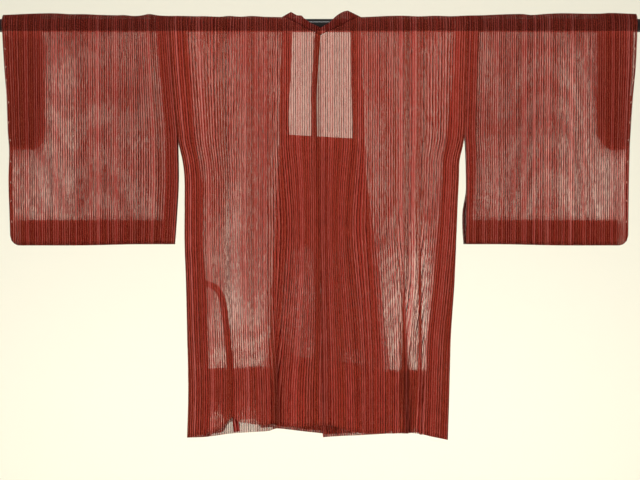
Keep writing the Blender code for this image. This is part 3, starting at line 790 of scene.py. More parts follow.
def grain(x, edges):
    """Shift across the cloth that lays its stripes along slanted edges near them.

    Each edge is its place at this height, its place where the stripes were set out, and how far
    inwards it guides them.
    """
    shift = 0.0
    for edge, set_out, reach in edges:
        shift += (set_out - edge) * smooth(1 - abs(x - edge) / reach)
    return shift


def lean(side, x, height):
    """Shift across the cloth that leans the back's stripes towards its centre seam."""
    across = min(abs(x) / LEAN_REACH, 1.0)
    return side * LEAN * read(LEAN_SHARES, "share", height) * math.sin(math.pi * across) ** 2


def painted_light_and_shade(point):
    """Share of its lightness that cloth keeps at a point, as painted light and shade: less in the
    painted shade of a dark column of the back or a shaded patch, and more than all of it in a patch of
    painted light."""
    tone = 1.0
    for patch in LIGHT_AND_SHADE_PATCHES:
        across = min(point.x - patch.left, patch.right - point.x)
        down = smooth((patch.top - point.z) / (patch.top - patch.full))
        up = smooth((point.z - patch.low) / PATCH_EDGE + 1)
        tone += patch.share * smooth(across / PATCH_EDGE + 0.5) * down * up
    if point.y > CREASE_REST:
        return tone
    for painted_mark in CREASE_SHADES:
        if point.z > painted_mark.top_height:
            continue
        drop = (point.z - painted_mark.top_height) / (LOWEST - painted_mark.top_height)
        middle = mix(painted_mark.top_x, painted_mark.hem_x, min(drop, 1.0))
        near = smooth(2 - abs(point.x - middle) / painted_mark.half_width * CREASE_EDGE)
        low = smooth((point.z - painted_mark.top_height) / (painted_mark.full_height - painted_mark.top_height))
        tone *= mix(1.0, painted_mark.tone, near * low)
    return tone


def warp_length(row, height):
    """How far along the bolt a row lies, from 0 where the back meets the rod."""
    if row.turn is not None:
        return CLOTH_OVER_ROD * row.turn / 180
    return height if row.face == BACK else CLOTH_OVER_ROD - height


def hem_height(face, x, height):
    """A height of the body drawn towards the hem's own line below the top of the turn-up."""
    if height >= HEM_TURNUP_TOP:
        return height
    hem = read(BACK_HEM if face == BACK else FRONT_HEM, "height", x)
    share = (height - HEM_TURNUP_TOP) / (LOWEST - HEM_TURNUP_TOP)
    return mix(HEM_TURNUP_TOP, hem, share)


def body_inner_edge(side, row):
    """Where a body width ends towards the middle: the back seam, the neck or the front seam."""
    name = side_name(side)
    if row.turn is not None:
        return side * read(BACK_NECK_EDGE, name, row.turn)
    if row.face == FRONT:
        return side * read(BODY_SECTIONS, name + "_front", row.height)
    seam = read(BODY_SECTIONS, "back_seam", row.height) + side * SEAM_GAP / 2
    if row.height <= BACK_NECK_HEIGHT:
        return seam
    neck = side * getattr(BACK_NECK_EDGE[0], name)
    return mix(neck, seam, row.height / BACK_NECK_HEIGHT)


def pleats_of(side):
    """The pleats of one body width, from its side edge inwards."""
    return sorted((p for p in PLEATS if p.side == side), key=lambda p: -abs(p.top_x))


def pleat_centre(pleat, height):
    return mix(pleat.top_x, pleat.hem_x, min(max(height / LOWEST, 0.0), 1.0))


def middle_columns(side, row, start, end, step):
    """The X of the columns between the turned-in strips, gathered at the pleats of the back."""
    pleats = pleats_of(side)
    reached = start
    gathered = []
    for pleat in pleats:
        centre = pleat_centre(pleat, row.height)
        across = [centre + side * pleat.half_width * stop for stop in reversed(PLEAT_STOPS)]
        before = MIDDLE_START if pleat == pleats[0] else abs(pleats[0].top_x)
        count = max(1, round((before - abs(pleat.top_x) - 2 * pleat.half_width) / step))
        gathered += spread(reached, across[0], count) + across
        reached = across[-1]
    last = max(2, round((abs(pleats[-1].top_x) - pleats[-1].half_width) / step))
    gathered += spread(reached, end, last)
    even = spread(start, end, len(gathered))
    on_back = row.turn is None and row.face == BACK
    drawn = smooth((GATHER_TOP - row.height) / GATHER_RUN) if on_back else 0.0
    return [mix(plain, tight, drawn) for plain, tight in zip(even, gathered)]


def body_columns(side, row, step):
    """The X of each column of a body width: turned-in side, middle, turned-in back seam."""
    name = side_name(side)
    attached = SEAM_GAP if row.height >= ARMHOLE_END else 0.0
    edge = read(BODY_SECTIONS, name + "_side", row.height) - attached
    turned = read(BODY_SECTIONS, name + "_turned", row.height)
    inner = body_inner_edge(side, row)
    inner_turned = inner + side * BACK_SEAM_ALLOWANCE
    outer = [side * (edge - turned * n / TURNED_STEPS) for n in range(TURNED_STEPS + 1)]
    seam = [mix(inner_turned, inner, n / SEAM_STEPS) for n in range(SEAM_STEPS + 1)]
    return outer + middle_columns(side, row, outer[-1], inner_turned, step) + seam


def pleated(side, x, height):
    """The sideways shift, the stand and the cloth taken in by the pleats at a point."""
    shift = stand = taken = 0.0
    for pleat in pleats_of(side):
        strength = smooth((pleat.full_height + pleat.fade - height) / pleat.fade)
        if strength == 0.0:
            continue
        across = (x - pleat_centre(pleat, height)) / pleat.half_width
        past = (abs(across) - 1) * pleat.half_width
        kept = 1 - PLEAT_EASE * smooth(past / PLEAT_EASE_RUN)
        taken += PLEAT_TAKE * pleat.overlap * strength**2 * min(max(across, -1.0), 1.0) * kept
        if abs(across) >= 1.0:
            continue
        shift -= (pleat.overlap + PLEAT_PASS) * strength * math.sin(math.pi * across)
        if across < -PLEAT_EDGE:
            rise = math.sin(math.pi / 2 * (across + 1) / (1 - PLEAT_EDGE))
        elif across < PLEAT_EDGE:
            rise = mix(1.0, UNDER_LAYER_STAND, (across + PLEAT_EDGE) / (2 * PLEAT_EDGE))
        else:
            rise = UNDER_LAYER_STAND * (1 - across) / (1 - PLEAT_EDGE)
        stand += pleat.stand * strength * rise
    return shift, stand, taken


def body_sheet(side, cloth, with_pleats):
    """One body width, from the back hem over the shoulder to the front hem."""
    rows = long_rows(BODY_SECTIONS, cloth.row_step)
    points, flat = [], []
    for row in rows:
        line, places = [], []
        columns = body_columns(side, row, cloth.column_step)
        edges = [(columns[0], side * SIDE_SET_OUT, SIDE_REACH)]
        for x in columns:
            taken = 0.0
            if row.turn is not None:
                point = over_rod(x, row.turn)
            else:
                z = hem_height(row.face, x, row.height)
                gap = body_gap(side, row.face, x, z) + ripple(row.face, x, z, cloth.ripple)
                shift = 0.0
                if with_pleats and row.face == BACK:
                    shift, stand, taken = pleated(side, x, row.height)
                    gap += stand
                if row.face == BACK:
                    taken += lean(side, x, row.height)
                point = Vector((x + shift, row.face * gap, z))
            line.append(point)
            places.append((x + taken + grain(x, edges), warp_length(row, point.z)))
        points.append(line)
        flat.append(places)
    return Sheet(rows, points, flat)


def sleeve_height(x, wrist, height):
    """A height of the sleeve drawn towards its lower edge below the top of the turn-up. The edge
    hangs a little towards the wrist, and rounds up to it."""
    if height >= SLEEVE_TURNUP_TOP:
        return height
    reach = max(CORNER_RADIUS - abs(wrist - x), 0.0)
    hem = SLEEVE_HEM + CORNER_RADIUS - math.sqrt(CORNER_RADIUS**2 - reach**2)
    hem -= SLEEVE_HEM_DROP * smooth((abs(x) - SLEEVE_HEM_DROP_START) / SLEEVE_HEM_DROP_RUN)
    share = (height - SLEEVE_TURNUP_TOP) / (SLEEVE_HEM - SLEEVE_TURNUP_TOP)
    return mix(SLEEVE_TURNUP_TOP, hem, share)


def sleeve_stops(step):
    return refine(SLEEVE_EDGE_STOPS, step)


def sleeve_columns(side, row, step):
    """The X of each column of a sleeve, from the wrist edge to the armhole edge."""
    name = side_name(side)
    wrist = read(SLEEVE_SECTIONS, name + "_wrist", row.height)
    inner = read(SLEEVE_SECTIONS, name + "_inner", row.height)
    turned = read(SLEEVE_SECTIONS, name + "_turned", row.height)
    if side == RIGHT and row.face == FRONT:
        inner -= read(RIGHT_FRONT_SWING, "reach", row.height)
    outer = [wrist - inset for inset in sleeve_stops(step)]
    middle = spread(outer[-1], inner + turned, sleeve_middle_count(step))
    armhole = [inner + turned * (1 - n / TURNED_STEPS) for n in range(TURNED_STEPS + 1)]
    return [side * x for x in outer + middle + armhole]


def sleeve_middle_count(step):
    section = SLEEVE_SECTIONS[0]
    return round((section.left_wrist - FACING_WIDTH - section.left_inner) / step)


def sleeve_sheet(side, cloth):
    """One sleeve, from the back's lower edge over the rod to the front's."""
    rows = long_rows(SLEEVE_SECTIONS, cloth.row_step)
    points, flat = [], []
    for row in rows:
        line, places = [], []
        columns = sleeve_columns(side, row, cloth.column_step)
        edges = (
            (columns[0], mix(columns[0], side * WRIST_SET_OUT, WRIST_SHARE), WRIST_REACH),
            (columns[-1], side * ARMHOLE_SET_OUT, ARMHOLE_REACH),
        )
        for x in columns:
            if row.turn is not None:
                point = over_rod(x, row.turn)
            else:
                z = sleeve_height(x, columns[0], row.height)
                gap = sleeve_gap(x, abs(columns[0]), z)
                gap += ripple(row.face, x, z, cloth.ripple) * smooth(gap / CLOTH_RADIUS)
                point = Vector((x, row.face * gap, z))
            line.append(point)
            places.append((x + grain(x, edges), warp_length(row, point.z)))
        points.append(line)
        flat.append(places)
    return Sheet(rows, points, flat)


def inward(points):
    """For each point of a surface, the unit direction that points into the coat."""
    last_row = len(points) - 1
    last_column = len(points[0]) - 1
    directions = []
    for r, line in enumerate(points):
        out = []
        for c, point in enumerate(line):
            along = points[min(r + 1, last_row)][c] - points[max(r - 1, 0)][c]
            across = line[min(c + 1, last_column)] - line[max(c - 1, 0)]
            normal = along.cross(across).normalized()
            to_middle = Vector((0, -point.y, -max(point.z, 0.0)))
            out.append(normal if normal.dot(to_middle) > 0 else -normal)
        directions.append(out)
    return directions


def inner_ply(sheet, rows, columns, trims, depth=INNER_PLY, turned=None):
    """Cloth lying inside a sheet: its points in a range of rows and columns, moved in.

    Each trim draws one edge back along the surface: first row, last row, first and last column.
    The stripes are those of cloth folded over at a column, or at a hem where none is given.
    """
    directions = inward(sheet.points)
    picked = [(r, range(columns[0], columns[1] + 1)) for r in range(rows[0], rows[1] + 1)]
    moved = [[sheet.points[r][c] + directions[r][c] * depth for c in cs] for r, cs in picked]
    flat = []
    for r, cs in picked:
        places = [sheet.flat[r][c] for c in cs]
        if turned is None:
            flat.append([(across, HEM_TURNUP_CUT - along) for across, along in places])
        else:
            fold = sheet.flat[r][turned][0]
            flat.append([(2 * fold - across, TURNED_IN_CUT + along) for across, along in places])
    first_row, last_row, first_column, last_column = trims
    for line in moved:
        line[0] += (line[1] - line[0]).normalized() * first_column
        line[-1] += (line[-2] - line[-1]).normalized() * last_column
    for c in range(len(moved[0])):
        moved[0][c] += (moved[1][c] - moved[0][c]).normalized() * first_row
        moved[-1][c] += (moved[-2][c] - moved[-1][c]).normalized() * last_row
    return Sheet(sheet.rows[rows[0] : rows[1] + 1], moved, flat)


def lift_rows(lines, rise):
    """Moves lines of points up."""
    for line in lines:
        for point in line:
            point.z += rise


def chain(vertices):
    """The edges between neighbours in a line of vertices."""
    edges = []
    for start, end in zip(vertices, vertices[1:]):
        edges += [edge for edge in start.link_edges if edge.other_vert(start) == end]
    return edges


def grid_of(sheet):
    """A bmesh of one sheet, its vertices by row and column, and each vertex's flat place."""
    bm = bmesh.new()
    rows = len(sheet.points)
    columns = len(sheet.points[0])
    made = bmesh.ops.create_grid(bm, x_segments=columns - 1, y_segments=rows - 1, size=1)
    order = sorted(made["verts"], key=lambda v: (round(v.co.y, 4), round(v.co.x, 4)))
    grid = [order[r * columns : (r + 1) * columns] for r in range(rows)]
    places = {}
    for line, points, flat in zip(grid, sheet.points, sheet.flat):
        for vertex, point, place in zip(line, points, flat):
            vertex.co = point
            places[vertex] = place
    return bm, grid, places


def mesh_of(name, bm, material):
    """The mesh that a bmesh has become, in one material."""
    mesh = bpy.data.meshes.new(name)
    bm.to_mesh(mesh)
    bm.free()
    mesh.materials.append(material)
    return mesh


def add_object(name, data):
    """A new object in the scene, at the origin."""
    made = bpy.data.objects.new(name, data)
    bpy.context.scene.collection.objects.link(made)
    return made


def finish_cloth(node, bm, places, thickness, material):
    """Makes a surface a thin shell of cloth that stands for its solid."""
    warp = bm.loops.layers.uv.new("Warp")
    for face in bm.faces:
        for loop in face.loops:
            loop[warp].uv = places[loop.vert]
    bmesh.ops.recalc_face_normals(bm, faces=bm.faces)
    mesh = mesh_of(node + "_cloth", bm, material)
    mesh.shade_smooth()
    # Painted light and shade of the creases and patches, kept on each point
    painted_tones = mesh.attributes.new("Crease", "FLOAT", "POINT")
    painted_tones.data.foreach_set("value", [painted_light_and_shade(vertex.co) for vertex in mesh.vertices])
    piece = add_object(mesh.name, mesh)
    shell = piece.modifiers.new("Ply", "SOLIDIFY")
    shell.thickness = thickness
    shell.offset = 0.0
    shell.use_even_offset = False
    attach(piece, "root")
    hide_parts(node)
    return piece


def make_strip(node, sheet, thickness, material):
    """A strip of cloth turned in, with four edges."""
    bm, _, places = grid_of(sheet)
    piece = finish_cloth(node, bm, places, thickness, material)


def new_material(name):
    """A material with its node tree and its Principled BSDF."""
    material = bpy.data.materials.new(name)
    material.use_nodes = True
    return material, material.node_tree, material.node_tree.nodes["Principled BSDF"]


def feed(tree, wanted, value):
    """Sets an input, or wires another node's output to it."""
    if isinstance(value, bpy.types.NodeSocket):
        tree.links.new(value, wanted)
    else:
        wanted.default_value = value


def calculate(tree, operation, first, second=0.0, third=0.0):
    """The output of a Math node."""
    node = tree.nodes.new("ShaderNodeMath")
    node.operation = operation
    for number, value in enumerate((first, second, third)):
        feed(tree, node.inputs[number], value)
    return node.outputs[0]


def ramp(tree, value, low, high):
    """A smooth rise from 0 at low to 1 at high."""
    node = tree.nodes.new("ShaderNodeMapRange")
    node.interpolation_type = "SMOOTHSTEP"
    feed(tree, node.inputs["Value"], value)
    feed(tree, node.inputs["From Min"], low)
    feed(tree, node.inputs["From Max"], high)
    return node.outputs["Result"]


def blend_colour(tree, share, first, second):
    node = tree.nodes.new("ShaderNodeMix")
    node.data_type = "RGBA"
    tree.links.new(share, node.inputs["Factor"])
    for name, value in (("A", first), ("B", second)):
        wanted = next(s for s in node.inputs if s.name == name and s.type == "RGBA")
        feed(tree, wanted, value)
    return next(s for s in node.outputs if s.type == "RGBA")


def waves(tree, dimensions, place, scale, detail):
    """The value of a Noise Texture."""
    node = tree.nodes.new("ShaderNodeTexNoise")
    node.noise_dimensions = dimensions
    node.inputs["Scale"].default_value = scale
    node.inputs["Detail"].default_value = detail
    node.inputs["Roughness"].default_value = 0.6
    tree.links.new(place, node.inputs["W" if dimensions == "1D" else "Vector"])
    return node.outputs[0]


def new_group(name, inputs, outputs):
    """An empty shader group with named sockets."""
    group = bpy.data.node_groups.new(name, "ShaderNodeTree")
    for label, kind, value in inputs:
        made = group.interface.new_socket(label, in_out="INPUT", socket_type="NodeSocket" + kind)
        if value is not None:
            made.default_value = value
    for label, kind in outputs:
        group.interface.new_socket(label, in_out="OUTPUT", socket_type="NodeSocket" + kind)
    return group, group.nodes.new("NodeGroupInput").outputs, group.nodes.new("NodeGroupOutput")


def wandering_yarn(tree, given, across, along):
    """The place across the bolt of the yarn that runs through a point of it."""
    yarn = across
    for label, wide, long in YARN_WAVES:
        place = tree.nodes.new("ShaderNodeCombineXYZ")
        feed(tree, place.inputs["X"], calculate(tree, "MULTIPLY", across, wide))
        feed(tree, place.inputs["Y"], calculate(tree, "MULTIPLY", along, long))
        sway = waves(tree, "2D", place.outputs[0], 1.0, 0.0)
        sway = calculate(tree, "SUBTRACT", sway, 0.5)
        yarn = calculate(tree, "MULTIPLY_ADD", sway, given[label], yarn)
    return yarn


def stripe_width(tree, given, from_middle, turn, chance):
    """1 on a stripe of dense yarn and 0 on the open gauze beside it."""
    dense_share = calculate(tree, "SUBTRACT", 1.0, given["Open Share"])
    full = calculate(tree, "MULTIPLY", dense_share, 0.5)
    narrower = calculate(tree, "MULTIPLY_ADD", turn, NEXT_NARROWER, WIDEST)
    uneven = calculate(tree, "MULTIPLY_ADD", chance, UNEVEN, narrower)
    edge = calculate(tree, "MULTIPLY", full, uneven)
    outer = calculate(tree, "ADD", edge, STRIPE_SOFTNESS)
    inner = calculate(tree, "SUBTRACT", edge, STRIPE_SOFTNESS)
    return ramp(tree, from_middle, outer, inner)


def stripe_colour(tree, given, turn, groups, chances, dense):
    """Dark, brown, red and pale stripes, with thin yarns in the open gauze."""
    tone = calculate(tree, "MULTIPLY", groups, TONE_BY_GROUP)
    tone = calculate(tree, "MULTIPLY_ADD", turn, TONE_BY_TURN, tone)
    tone = calculate(tree, "MULTIPLY_ADD", chances[1], TONE_BY_CHANCE, tone)
    colour = blend_colour(tree, ramp(tree, tone, *RED_TONES), given["Dark"], given["Red"])
    brown = ramp(tree, chances[2], *BROWN_CHANCES)
    brown = calculate(tree, "MULTIPLY", brown, BROWN_SHARE)
    colour = blend_colour(tree, brown, colour, given["Brown"])
    colour = blend_colour(tree, ramp(tree, tone, *PALE_TONES), colour, given["Pale"])
    return blend_colour(tree, dense, given["Thin"], colour)


def stripe_cover(tree, given, along, dense):
    """Share of light that the cloth stops: most on dense yarn, and more at each weft thread."""
    cover = tree.nodes.new("ShaderNodeMapRange")
    feed(tree, cover.inputs["Value"], dense)
    pick = calculate(tree, "FRACT", calculate(tree, "DIVIDE", along, given["Weft Pitch"]))
    from_weft = calculate(tree, "ABSOLUTE", calculate(tree, "SUBTRACT", pick, 0.5))
    weft = ramp(tree, from_weft, *WEFT_EDGE)
    lowest = calculate(tree, "MULTIPLY_ADD", weft, WEFT_COVER, given["Open Cover"])
    feed(tree, cover.inputs["To Min"], lowest)
    feed(tree, cover.inputs["To Max"], given["Dense Cover"])
    return cover.outputs["Result"]


def stripe_group():
    """Warp stripes of dense yarn with open gauze between them."""
    name = "Warp Stripes"
    if name in bpy.data.node_groups:
        return bpy.data.node_groups[name]
    white = (1.0, 1.0, 1.0, 1.0)
    tree, given, out = new_group(
        name,
        (
            ("Flat Place", "Vector", None),
            ("Pitch", "Float", 0.0016),
            ("Weft Pitch", "Float", 0.0011),
            ("Open Share", "Float", 0.44),
            ("Wander", "Float", 0.0050),
            ("Waver", "Float", 0.0011),
            ("Dense Cover", "Float", 0.84),
            ("Open Cover", "Float", 0.18),
            *[(label, "Color", white) for label in YARNS],
        ),
        (("Colour", "Color"), ("Cover", "Float")),
    )
    split = tree.nodes.new("ShaderNodeSeparateXYZ")
    tree.links.new(given["Flat Place"], split.inputs[0])
    across, along = split.outputs["X"], split.outputs["Y"]

    yarn = wandering_yarn(tree, given, across, along)
    phase = calculate(tree, "DIVIDE", yarn, given["Pitch"])
    number = calculate(tree, "FLOOR", phase)
    within = calculate(tree, "FRACT", phase)
    from_middle = calculate(tree, "ABSOLUTE", calculate(tree, "SUBTRACT", within, 0.5))
    turn = calculate(tree, "FLOORED_MODULO", number, STRIPES_IN_TURN)

    chance = tree.nodes.new("ShaderNodeTexWhiteNoise")
    chance.noise_dimensions = "1D"
    tree.links.new(number, chance.inputs["W"])
    chances = tree.nodes.new("ShaderNodeSeparateColor")
    tree.links.new(chance.outputs["Color"], chances.inputs[0])
    chances = chances.outputs
    groups = waves(tree, "1D", yarn, GROUPS_TO_METRE, 1.0)

    dense = stripe_width(tree, given, from_middle, turn, chances[0])
    colour = stripe_colour(tree, given, turn, groups, chances, dense)
    cover = stripe_cover(tree, given, along, dense)
    tree.links.new(colour, out.inputs["Colour"])
    tree.links.new(cover, out.inputs["Cover"])
    return tree


def painted_shade_group():
    """Paints light and shade into a cloth's colour: scales it by its painted crease and patch tone, and
    darkens it with painted shade in the band where a black rod shows through and on up over the
    shoulder crest.
    """
    name = "Cloth Tone"
    if name in bpy.data.node_groups:
        return bpy.data.node_groups[name]
    tree, given, out = new_group(
        name,
        (
            ("Colour", "Color", (1, 1, 1, 1)),
            ("Place", "Vector", None),
            ("Low", "Float", -0.0145),
            ("High", "Float", 0.0400),
            ("Softness", "Float", 0.0010),
            ("Shade", "Float", 1.0),
            ("Crease", "Float", 1.0),
        ),
        (("Colour", "Color"),),
    )
    split = tree.nodes.new("ShaderNodeSeparateXYZ")
    tree.links.new(given["Place"], split.inputs[0])
    inside = []
    for edge, outer, inner in (("Low", "SUBTRACT", "ADD"), ("High", "ADD", "SUBTRACT")):
        start = calculate(tree, outer, given[edge], given["Softness"])
        full = calculate(tree, inner, given[edge], given["Softness"])
        inside.append(ramp(tree, split.outputs["Z"], start, full))
    inside = calculate(tree, "MULTIPLY", *inside)
    darker = calculate(tree, "SUBTRACT", given["Shade"], 1.0)
    kept = calculate(tree, "MULTIPLY_ADD", inside, darker, 1.0)
    kept = calculate(tree, "MULTIPLY", kept, given["Crease"])
    scaled = tree.nodes.new("ShaderNodeVectorMath")
    scaled.operation = "SCALE"
    tree.links.new(given["Colour"], scaled.inputs[0])
    tree.links.new(kept, scaled.inputs["Scale"])
    tree.links.new(scaled.outputs[0], out.inputs["Colour"])
    return tree


def gauze(kind):
    """A gauze material, with painted light and shade in its colour. Cloth made paler by painted light
    is more open too, and cloth darkened by painted shade less so."""
    if kind.name in bpy.data.materials:
        return bpy.data.materials[kind.name]
    stripes = bpy.context.scene.coat_stripes
    material, tree, shader = new_material(kind.name)
    flat = tree.nodes.new("ShaderNodeUVMap")
    flat.uv_map = "Warp"
    yarns = tree.nodes.new("ShaderNodeGroup")
    yarns.node_tree = stripe_group()
    tree.links.new(flat.outputs["UV"], yarns.inputs["Flat Place"])
    for label, value in (
        ("Pitch", stripes.pitch),
        ("Open Share", stripes.open_share**kind.plies),
        ("Wander", stripes.wander),
        ("Waver", stripes.waver),
        ("Dense Cover", 1 - (1 - stripes.dense_cover) ** kind.plies),
        ("Open Cover", 1 - (1 - stripes.open_cover) ** kind.plies),
    ):
        yarns.inputs[label].default_value = value
    # The yarns' colours, darkened by the kind's painted shade
    for label in YARNS:
        colour = getattr(stripes, label.lower())
        yarns.inputs[label].default_value = (*[part * kind.shade for part in colour], 1.0)
    place = tree.nodes.new("ShaderNodeTexCoord")
    # The painted light and shade of the creases and patches
    painted_mark = tree.nodes.new("ShaderNodeAttribute")
    painted_mark.attribute_name = "Crease"
    tone = tree.nodes.new("ShaderNodeGroup")
    tone.node_tree = painted_shade_group()
    # Painted shade in the band over the rod and the shoulder crest
    tone.inputs["Shade"].default_value = stripes.painted_rod_shade
    tree.links.new(place.outputs["Object"], tone.inputs["Place"])
    tree.links.new(painted_mark.outputs["Fac"], tone.inputs["Crease"])
    tree.links.new(yarns.outputs["Colour"], tone.inputs["Colour"])
    tree.links.new(tone.outputs["Colour"], shader.inputs["Base Color"])
    paler = calculate(tree, "SUBTRACT", painted_mark.outputs["Fac"], 1.0)
    cover = calculate(tree, "MULTIPLY_ADD", paler, COVER_BY_TONE, yarns.outputs["Cover"])
    cover = calculate(tree, "MINIMUM", calculate(tree, "MAXIMUM", cover, 0.0), 1.0)
    tree.links.new(cover, shader.inputs["Alpha"])
    shader.inputs["Roughness"].default_value = 0.82
    shader.inputs["Specular IOR Level"].default_value = 0.04
    material.diffuse_color = (*stripes.red, 1.0)
    return material


class COAT_OT_body_widths(bpy.types.Operator):
    """Makes both body widths with the cloth turned in at their sides, hems and back seam"""

    bl_idname = "coat.body_widths"
    bl_label = "Body Widths"

    def execute(self, context):
        cloth = context.scene.coat_cloth
        for side in (LEFT, RIGHT):
            self.make_width(side, cloth)
            self.make_turned_in(side, cloth)
        return {"FINISHED"}

    def make_width(self, side, cloth):
        name = "body_" + side_name(side)
        sheet = body_sheet(side, cloth, with_pleats=True)
        bm, grid, places = grid_of(sheet)
        back_top = row_of(sheet.rows, BACK, SIDE_SEAM_TOP)
        front_top = row_of(sheet.rows, FRONT, SIDE_SEAM_TOP)
        back_side = [line[0] for line in grid[: back_top + 1]]
        front_side = [line[0] for line in grid[front_top:]]
        bmesh.ops.bridge_loops(bm, edges=chain(back_side) + chain(front_side))
        material = gauze(BODY_GAUZE)
        piece = finish_cloth(name, bm, places, cloth.thickness, material)

    def make_turned_in(self, side, cloth):
        sheet = body_sheet(side, cloth, with_pleats=False)
        name = side_name(side)
        rows = sheet.rows
        last_row = len(rows) - 1
        last = len(sheet.points[0]) - 1
        seam = last - SEAM_STEPS
        turned = gauze(TURNED_IN_GAUZE)

        def ply(node, row_range, columns, trims, fold=None, hem=None):
            inner = inner_ply(sheet, row_range, columns, trims, turned=fold)
            if hem is not None:
                hitch(inner, hem)
            make_strip(node, inner, cloth.thickness, turned)

        ply("side_allowance_" + name, (0, last_row), (0, TURNED_STEPS), (0, 0, EDGE_CLEAR, 0), 0)
        back = (0, row_of(rows, BACK, HEM_TURNUP_TOP))
        front = (row_of(rows, FRONT, HEM_TURNUP_TOP), last_row)
        back_last = seam if side == LEFT else last
        trims = (0, 0, SEAM_GAP, SEAM_GAP)
        ply("hem_turnup_back_" + name, back, (TURNED_STEPS, back_last), trims, hem=BACK)
        ply("hem_turnup_front_" + name, front, (TURNED_STEPS, last), trims, hem=FRONT)
        if side == LEFT:
            neck = row_of(rows, BACK, BACK_NECK_HEIGHT)
            inner = inner_ply(sheet, (0, neck), (seam, last), (0, 0, 0, 0), turned=last)
            lift_rows(inner.points[-1:], SEAM_TUCK)
            make_strip("back_seam_allowance", inner, cloth.thickness, gauze(BACK_SEAM_GAUZE))


class COAT_OT_sleeves(bpy.types.Operator):
    """Makes both sleeves with their facings, turn-ups and seam strips"""

    bl_idname = "coat.sleeves"
    bl_label = "Sleeves"

    def execute(self, context):
        cloth = context.scene.coat_cloth
        for side in (LEFT, RIGHT):
            sheet = sleeve_sheet(side, cloth)
            self.make_sleeve(side, sheet, cloth)
            self.make_turned_in(side, sheet, cloth)
        return {"FINISHED"}

    def make_sleeve(self, side, sheet, cloth):
        name = "sleeve_" + side_name(side)
        bm, grid, places = grid_of(sheet)
        back_end = row_of(sheet.rows, BACK, CUFF_OPENING_END)
        front_end = row_of(sheet.rows, FRONT, CUFF_OPENING_END)
        back_edge = [line[0] for line in reversed(grid[: back_end + 1])] + grid[0][1:]
        front_edge = [line[0] for line in grid[front_end:]] + grid[-1][1:]
        bmesh.ops.bridge_loops(bm, edges=chain(back_edge) + chain(front_edge))
        material = gauze(SLEEVE_GAUZE)
        piece = finish_cloth(name, bm, places, cloth.thickness, material)

    def make_turned_in(self, side, sheet, cloth):
        name = side_name(side)
        rows = sheet.rows
        last_row = len(rows) - 1
        last = len(sheet.points[0]) - 1
        armhole_start = last - TURNED_STEPS
        stops = sleeve_stops(cloth.column_step)
        turned = gauze(SLEEVE_TURNED_IN_GAUZE)

        trims = (0, 0, 0, SEAM_GAP)
        armhole = inner_ply(sheet, (0, last_row), (armhole_start, last), trims, turned=last)
        lift_rows((armhole.points[0], armhole.points[-1]), INNER_PLY)
        make_strip("armhole_allowance_" + name, armhole, cloth.thickness, turned)

        opening = (row_of(rows, BACK, CUFF_OPENING_END), row_of(rows, FRONT, CUFF_OPENING_END))
        columns = (0, column_of(stops, FACING_WIDTH))
        facing = inner_ply(sheet, opening, columns, (0, 0, EDGE_CLEAR, 0), turned=0)
        self.make_facing(side, facing, stops, cloth, turned)

        columns = (0, column_of(stops, WRIST_SEAM_WIDTH))
        trims = (WRIST_SEAM_RISE, 0, 2 * EDGE_CLEAR, SEAM_GAP)
        seam = inner_ply(sheet, (0, opening[0]), columns, trims, turned=0)
        make_strip("wrist_seam_" + name, seam, cloth.thickness, turned)

        self.make_stitches(side, sheet)
        columns = (column_of(stops, CORNER_RADIUS), armhole_start)
        self.make_turnup(name, sheet, columns, cloth, turned)

    def make_turnup(self, name, sheet, columns, cloth, material):
        """The bottom of a sleeve turned up inside it, as one channel from back to front."""
        trims = (0, 0, SEAM_GAP, EDGE_CLEAR)
        top = row_of(sheet.rows, BACK, SLEEVE_TURNUP_TOP)
        back = inner_ply(sheet, (0, top), columns, trims, TURNUP_DEPTH)
        top = row_of(sheet.rows, FRONT, SLEEVE_TURNUP_TOP)
        front = inner_ply(sheet, (top, len(sheet.rows) - 1), columns, trims, TURNUP_DEPTH)
        lift_rows((back.points[0], front.points[-1]), TURNUP_DEPTH)
        points = back.points[::-1] + front.points[::-1]
        channel = Sheet(None, points, back.flat[::-1] + front.flat[::-1])
        bm, _, places = grid_of(channel)
        node = "sleeve_turnup_" + name
        piece = finish_cloth(node, bm, places, cloth.thickness, material)

    def make_facing(self, side, facing, stops, cloth, material):
        """The facing of a cuff: its inner edge set nearer to the wrist, its lower inner corners
        cut off and its slits open."""
        corner = FACING_CUTS[side]
        for row, line in zip(facing.rows, facing.points):
            if row.turn is not None:
                nearer = mix(corner.back_top, corner.front_top, row.turn / 180)
            elif row.face == BACK:
                nearer = mix(corner.back_top, corner.back_low, row.height / CUFF_OPENING_END)
            else:
                nearer = mix(corner.front_top, corner.front_low, row.height / CUFF_OPENING_END)
            for column, point in enumerate(line):
                point.x += side * nearer * (stops[column] / FACING_WIDTH) ** 2
        for line in (facing.points[0], facing.points[-1]):
            for column, point in enumerate(line):
                cut = (stops[column] - FACING_WIDTH) / corner.width + 1
                point.z += max(cut, 0.0) * corner.rise
        for lines in (facing.points, facing.points[::-1]):
            for below, line in zip(lines, lines[1:FACING_CORNER_ROWS]):
                for low, point in zip(below, line):
                    point.z = max(point.z, low.z + FACING_ROW_RISE)
        bm, grid, places = grid_of(facing)
        for slit in FACING_SLITS:
            if slit.side != side:
                continue
            start, end = column_of(stops, slit.start), column_of(stops, slit.end)
            strip = [vertex for line in grid for vertex in line[start : end + 1]]
            inside = {vertex for vertex in strip if slit.low < vertex.co.z < slit.high}
            loose = [face for face in bm.faces if inside.issuperset(face.verts)]
            bmesh.ops.delete(bm, geom=loose, context="FACES_ONLY")
        node = "cuff_facing_" + side_name(side)
        piece = finish_cloth(node, bm, places, cloth.thickness, material)

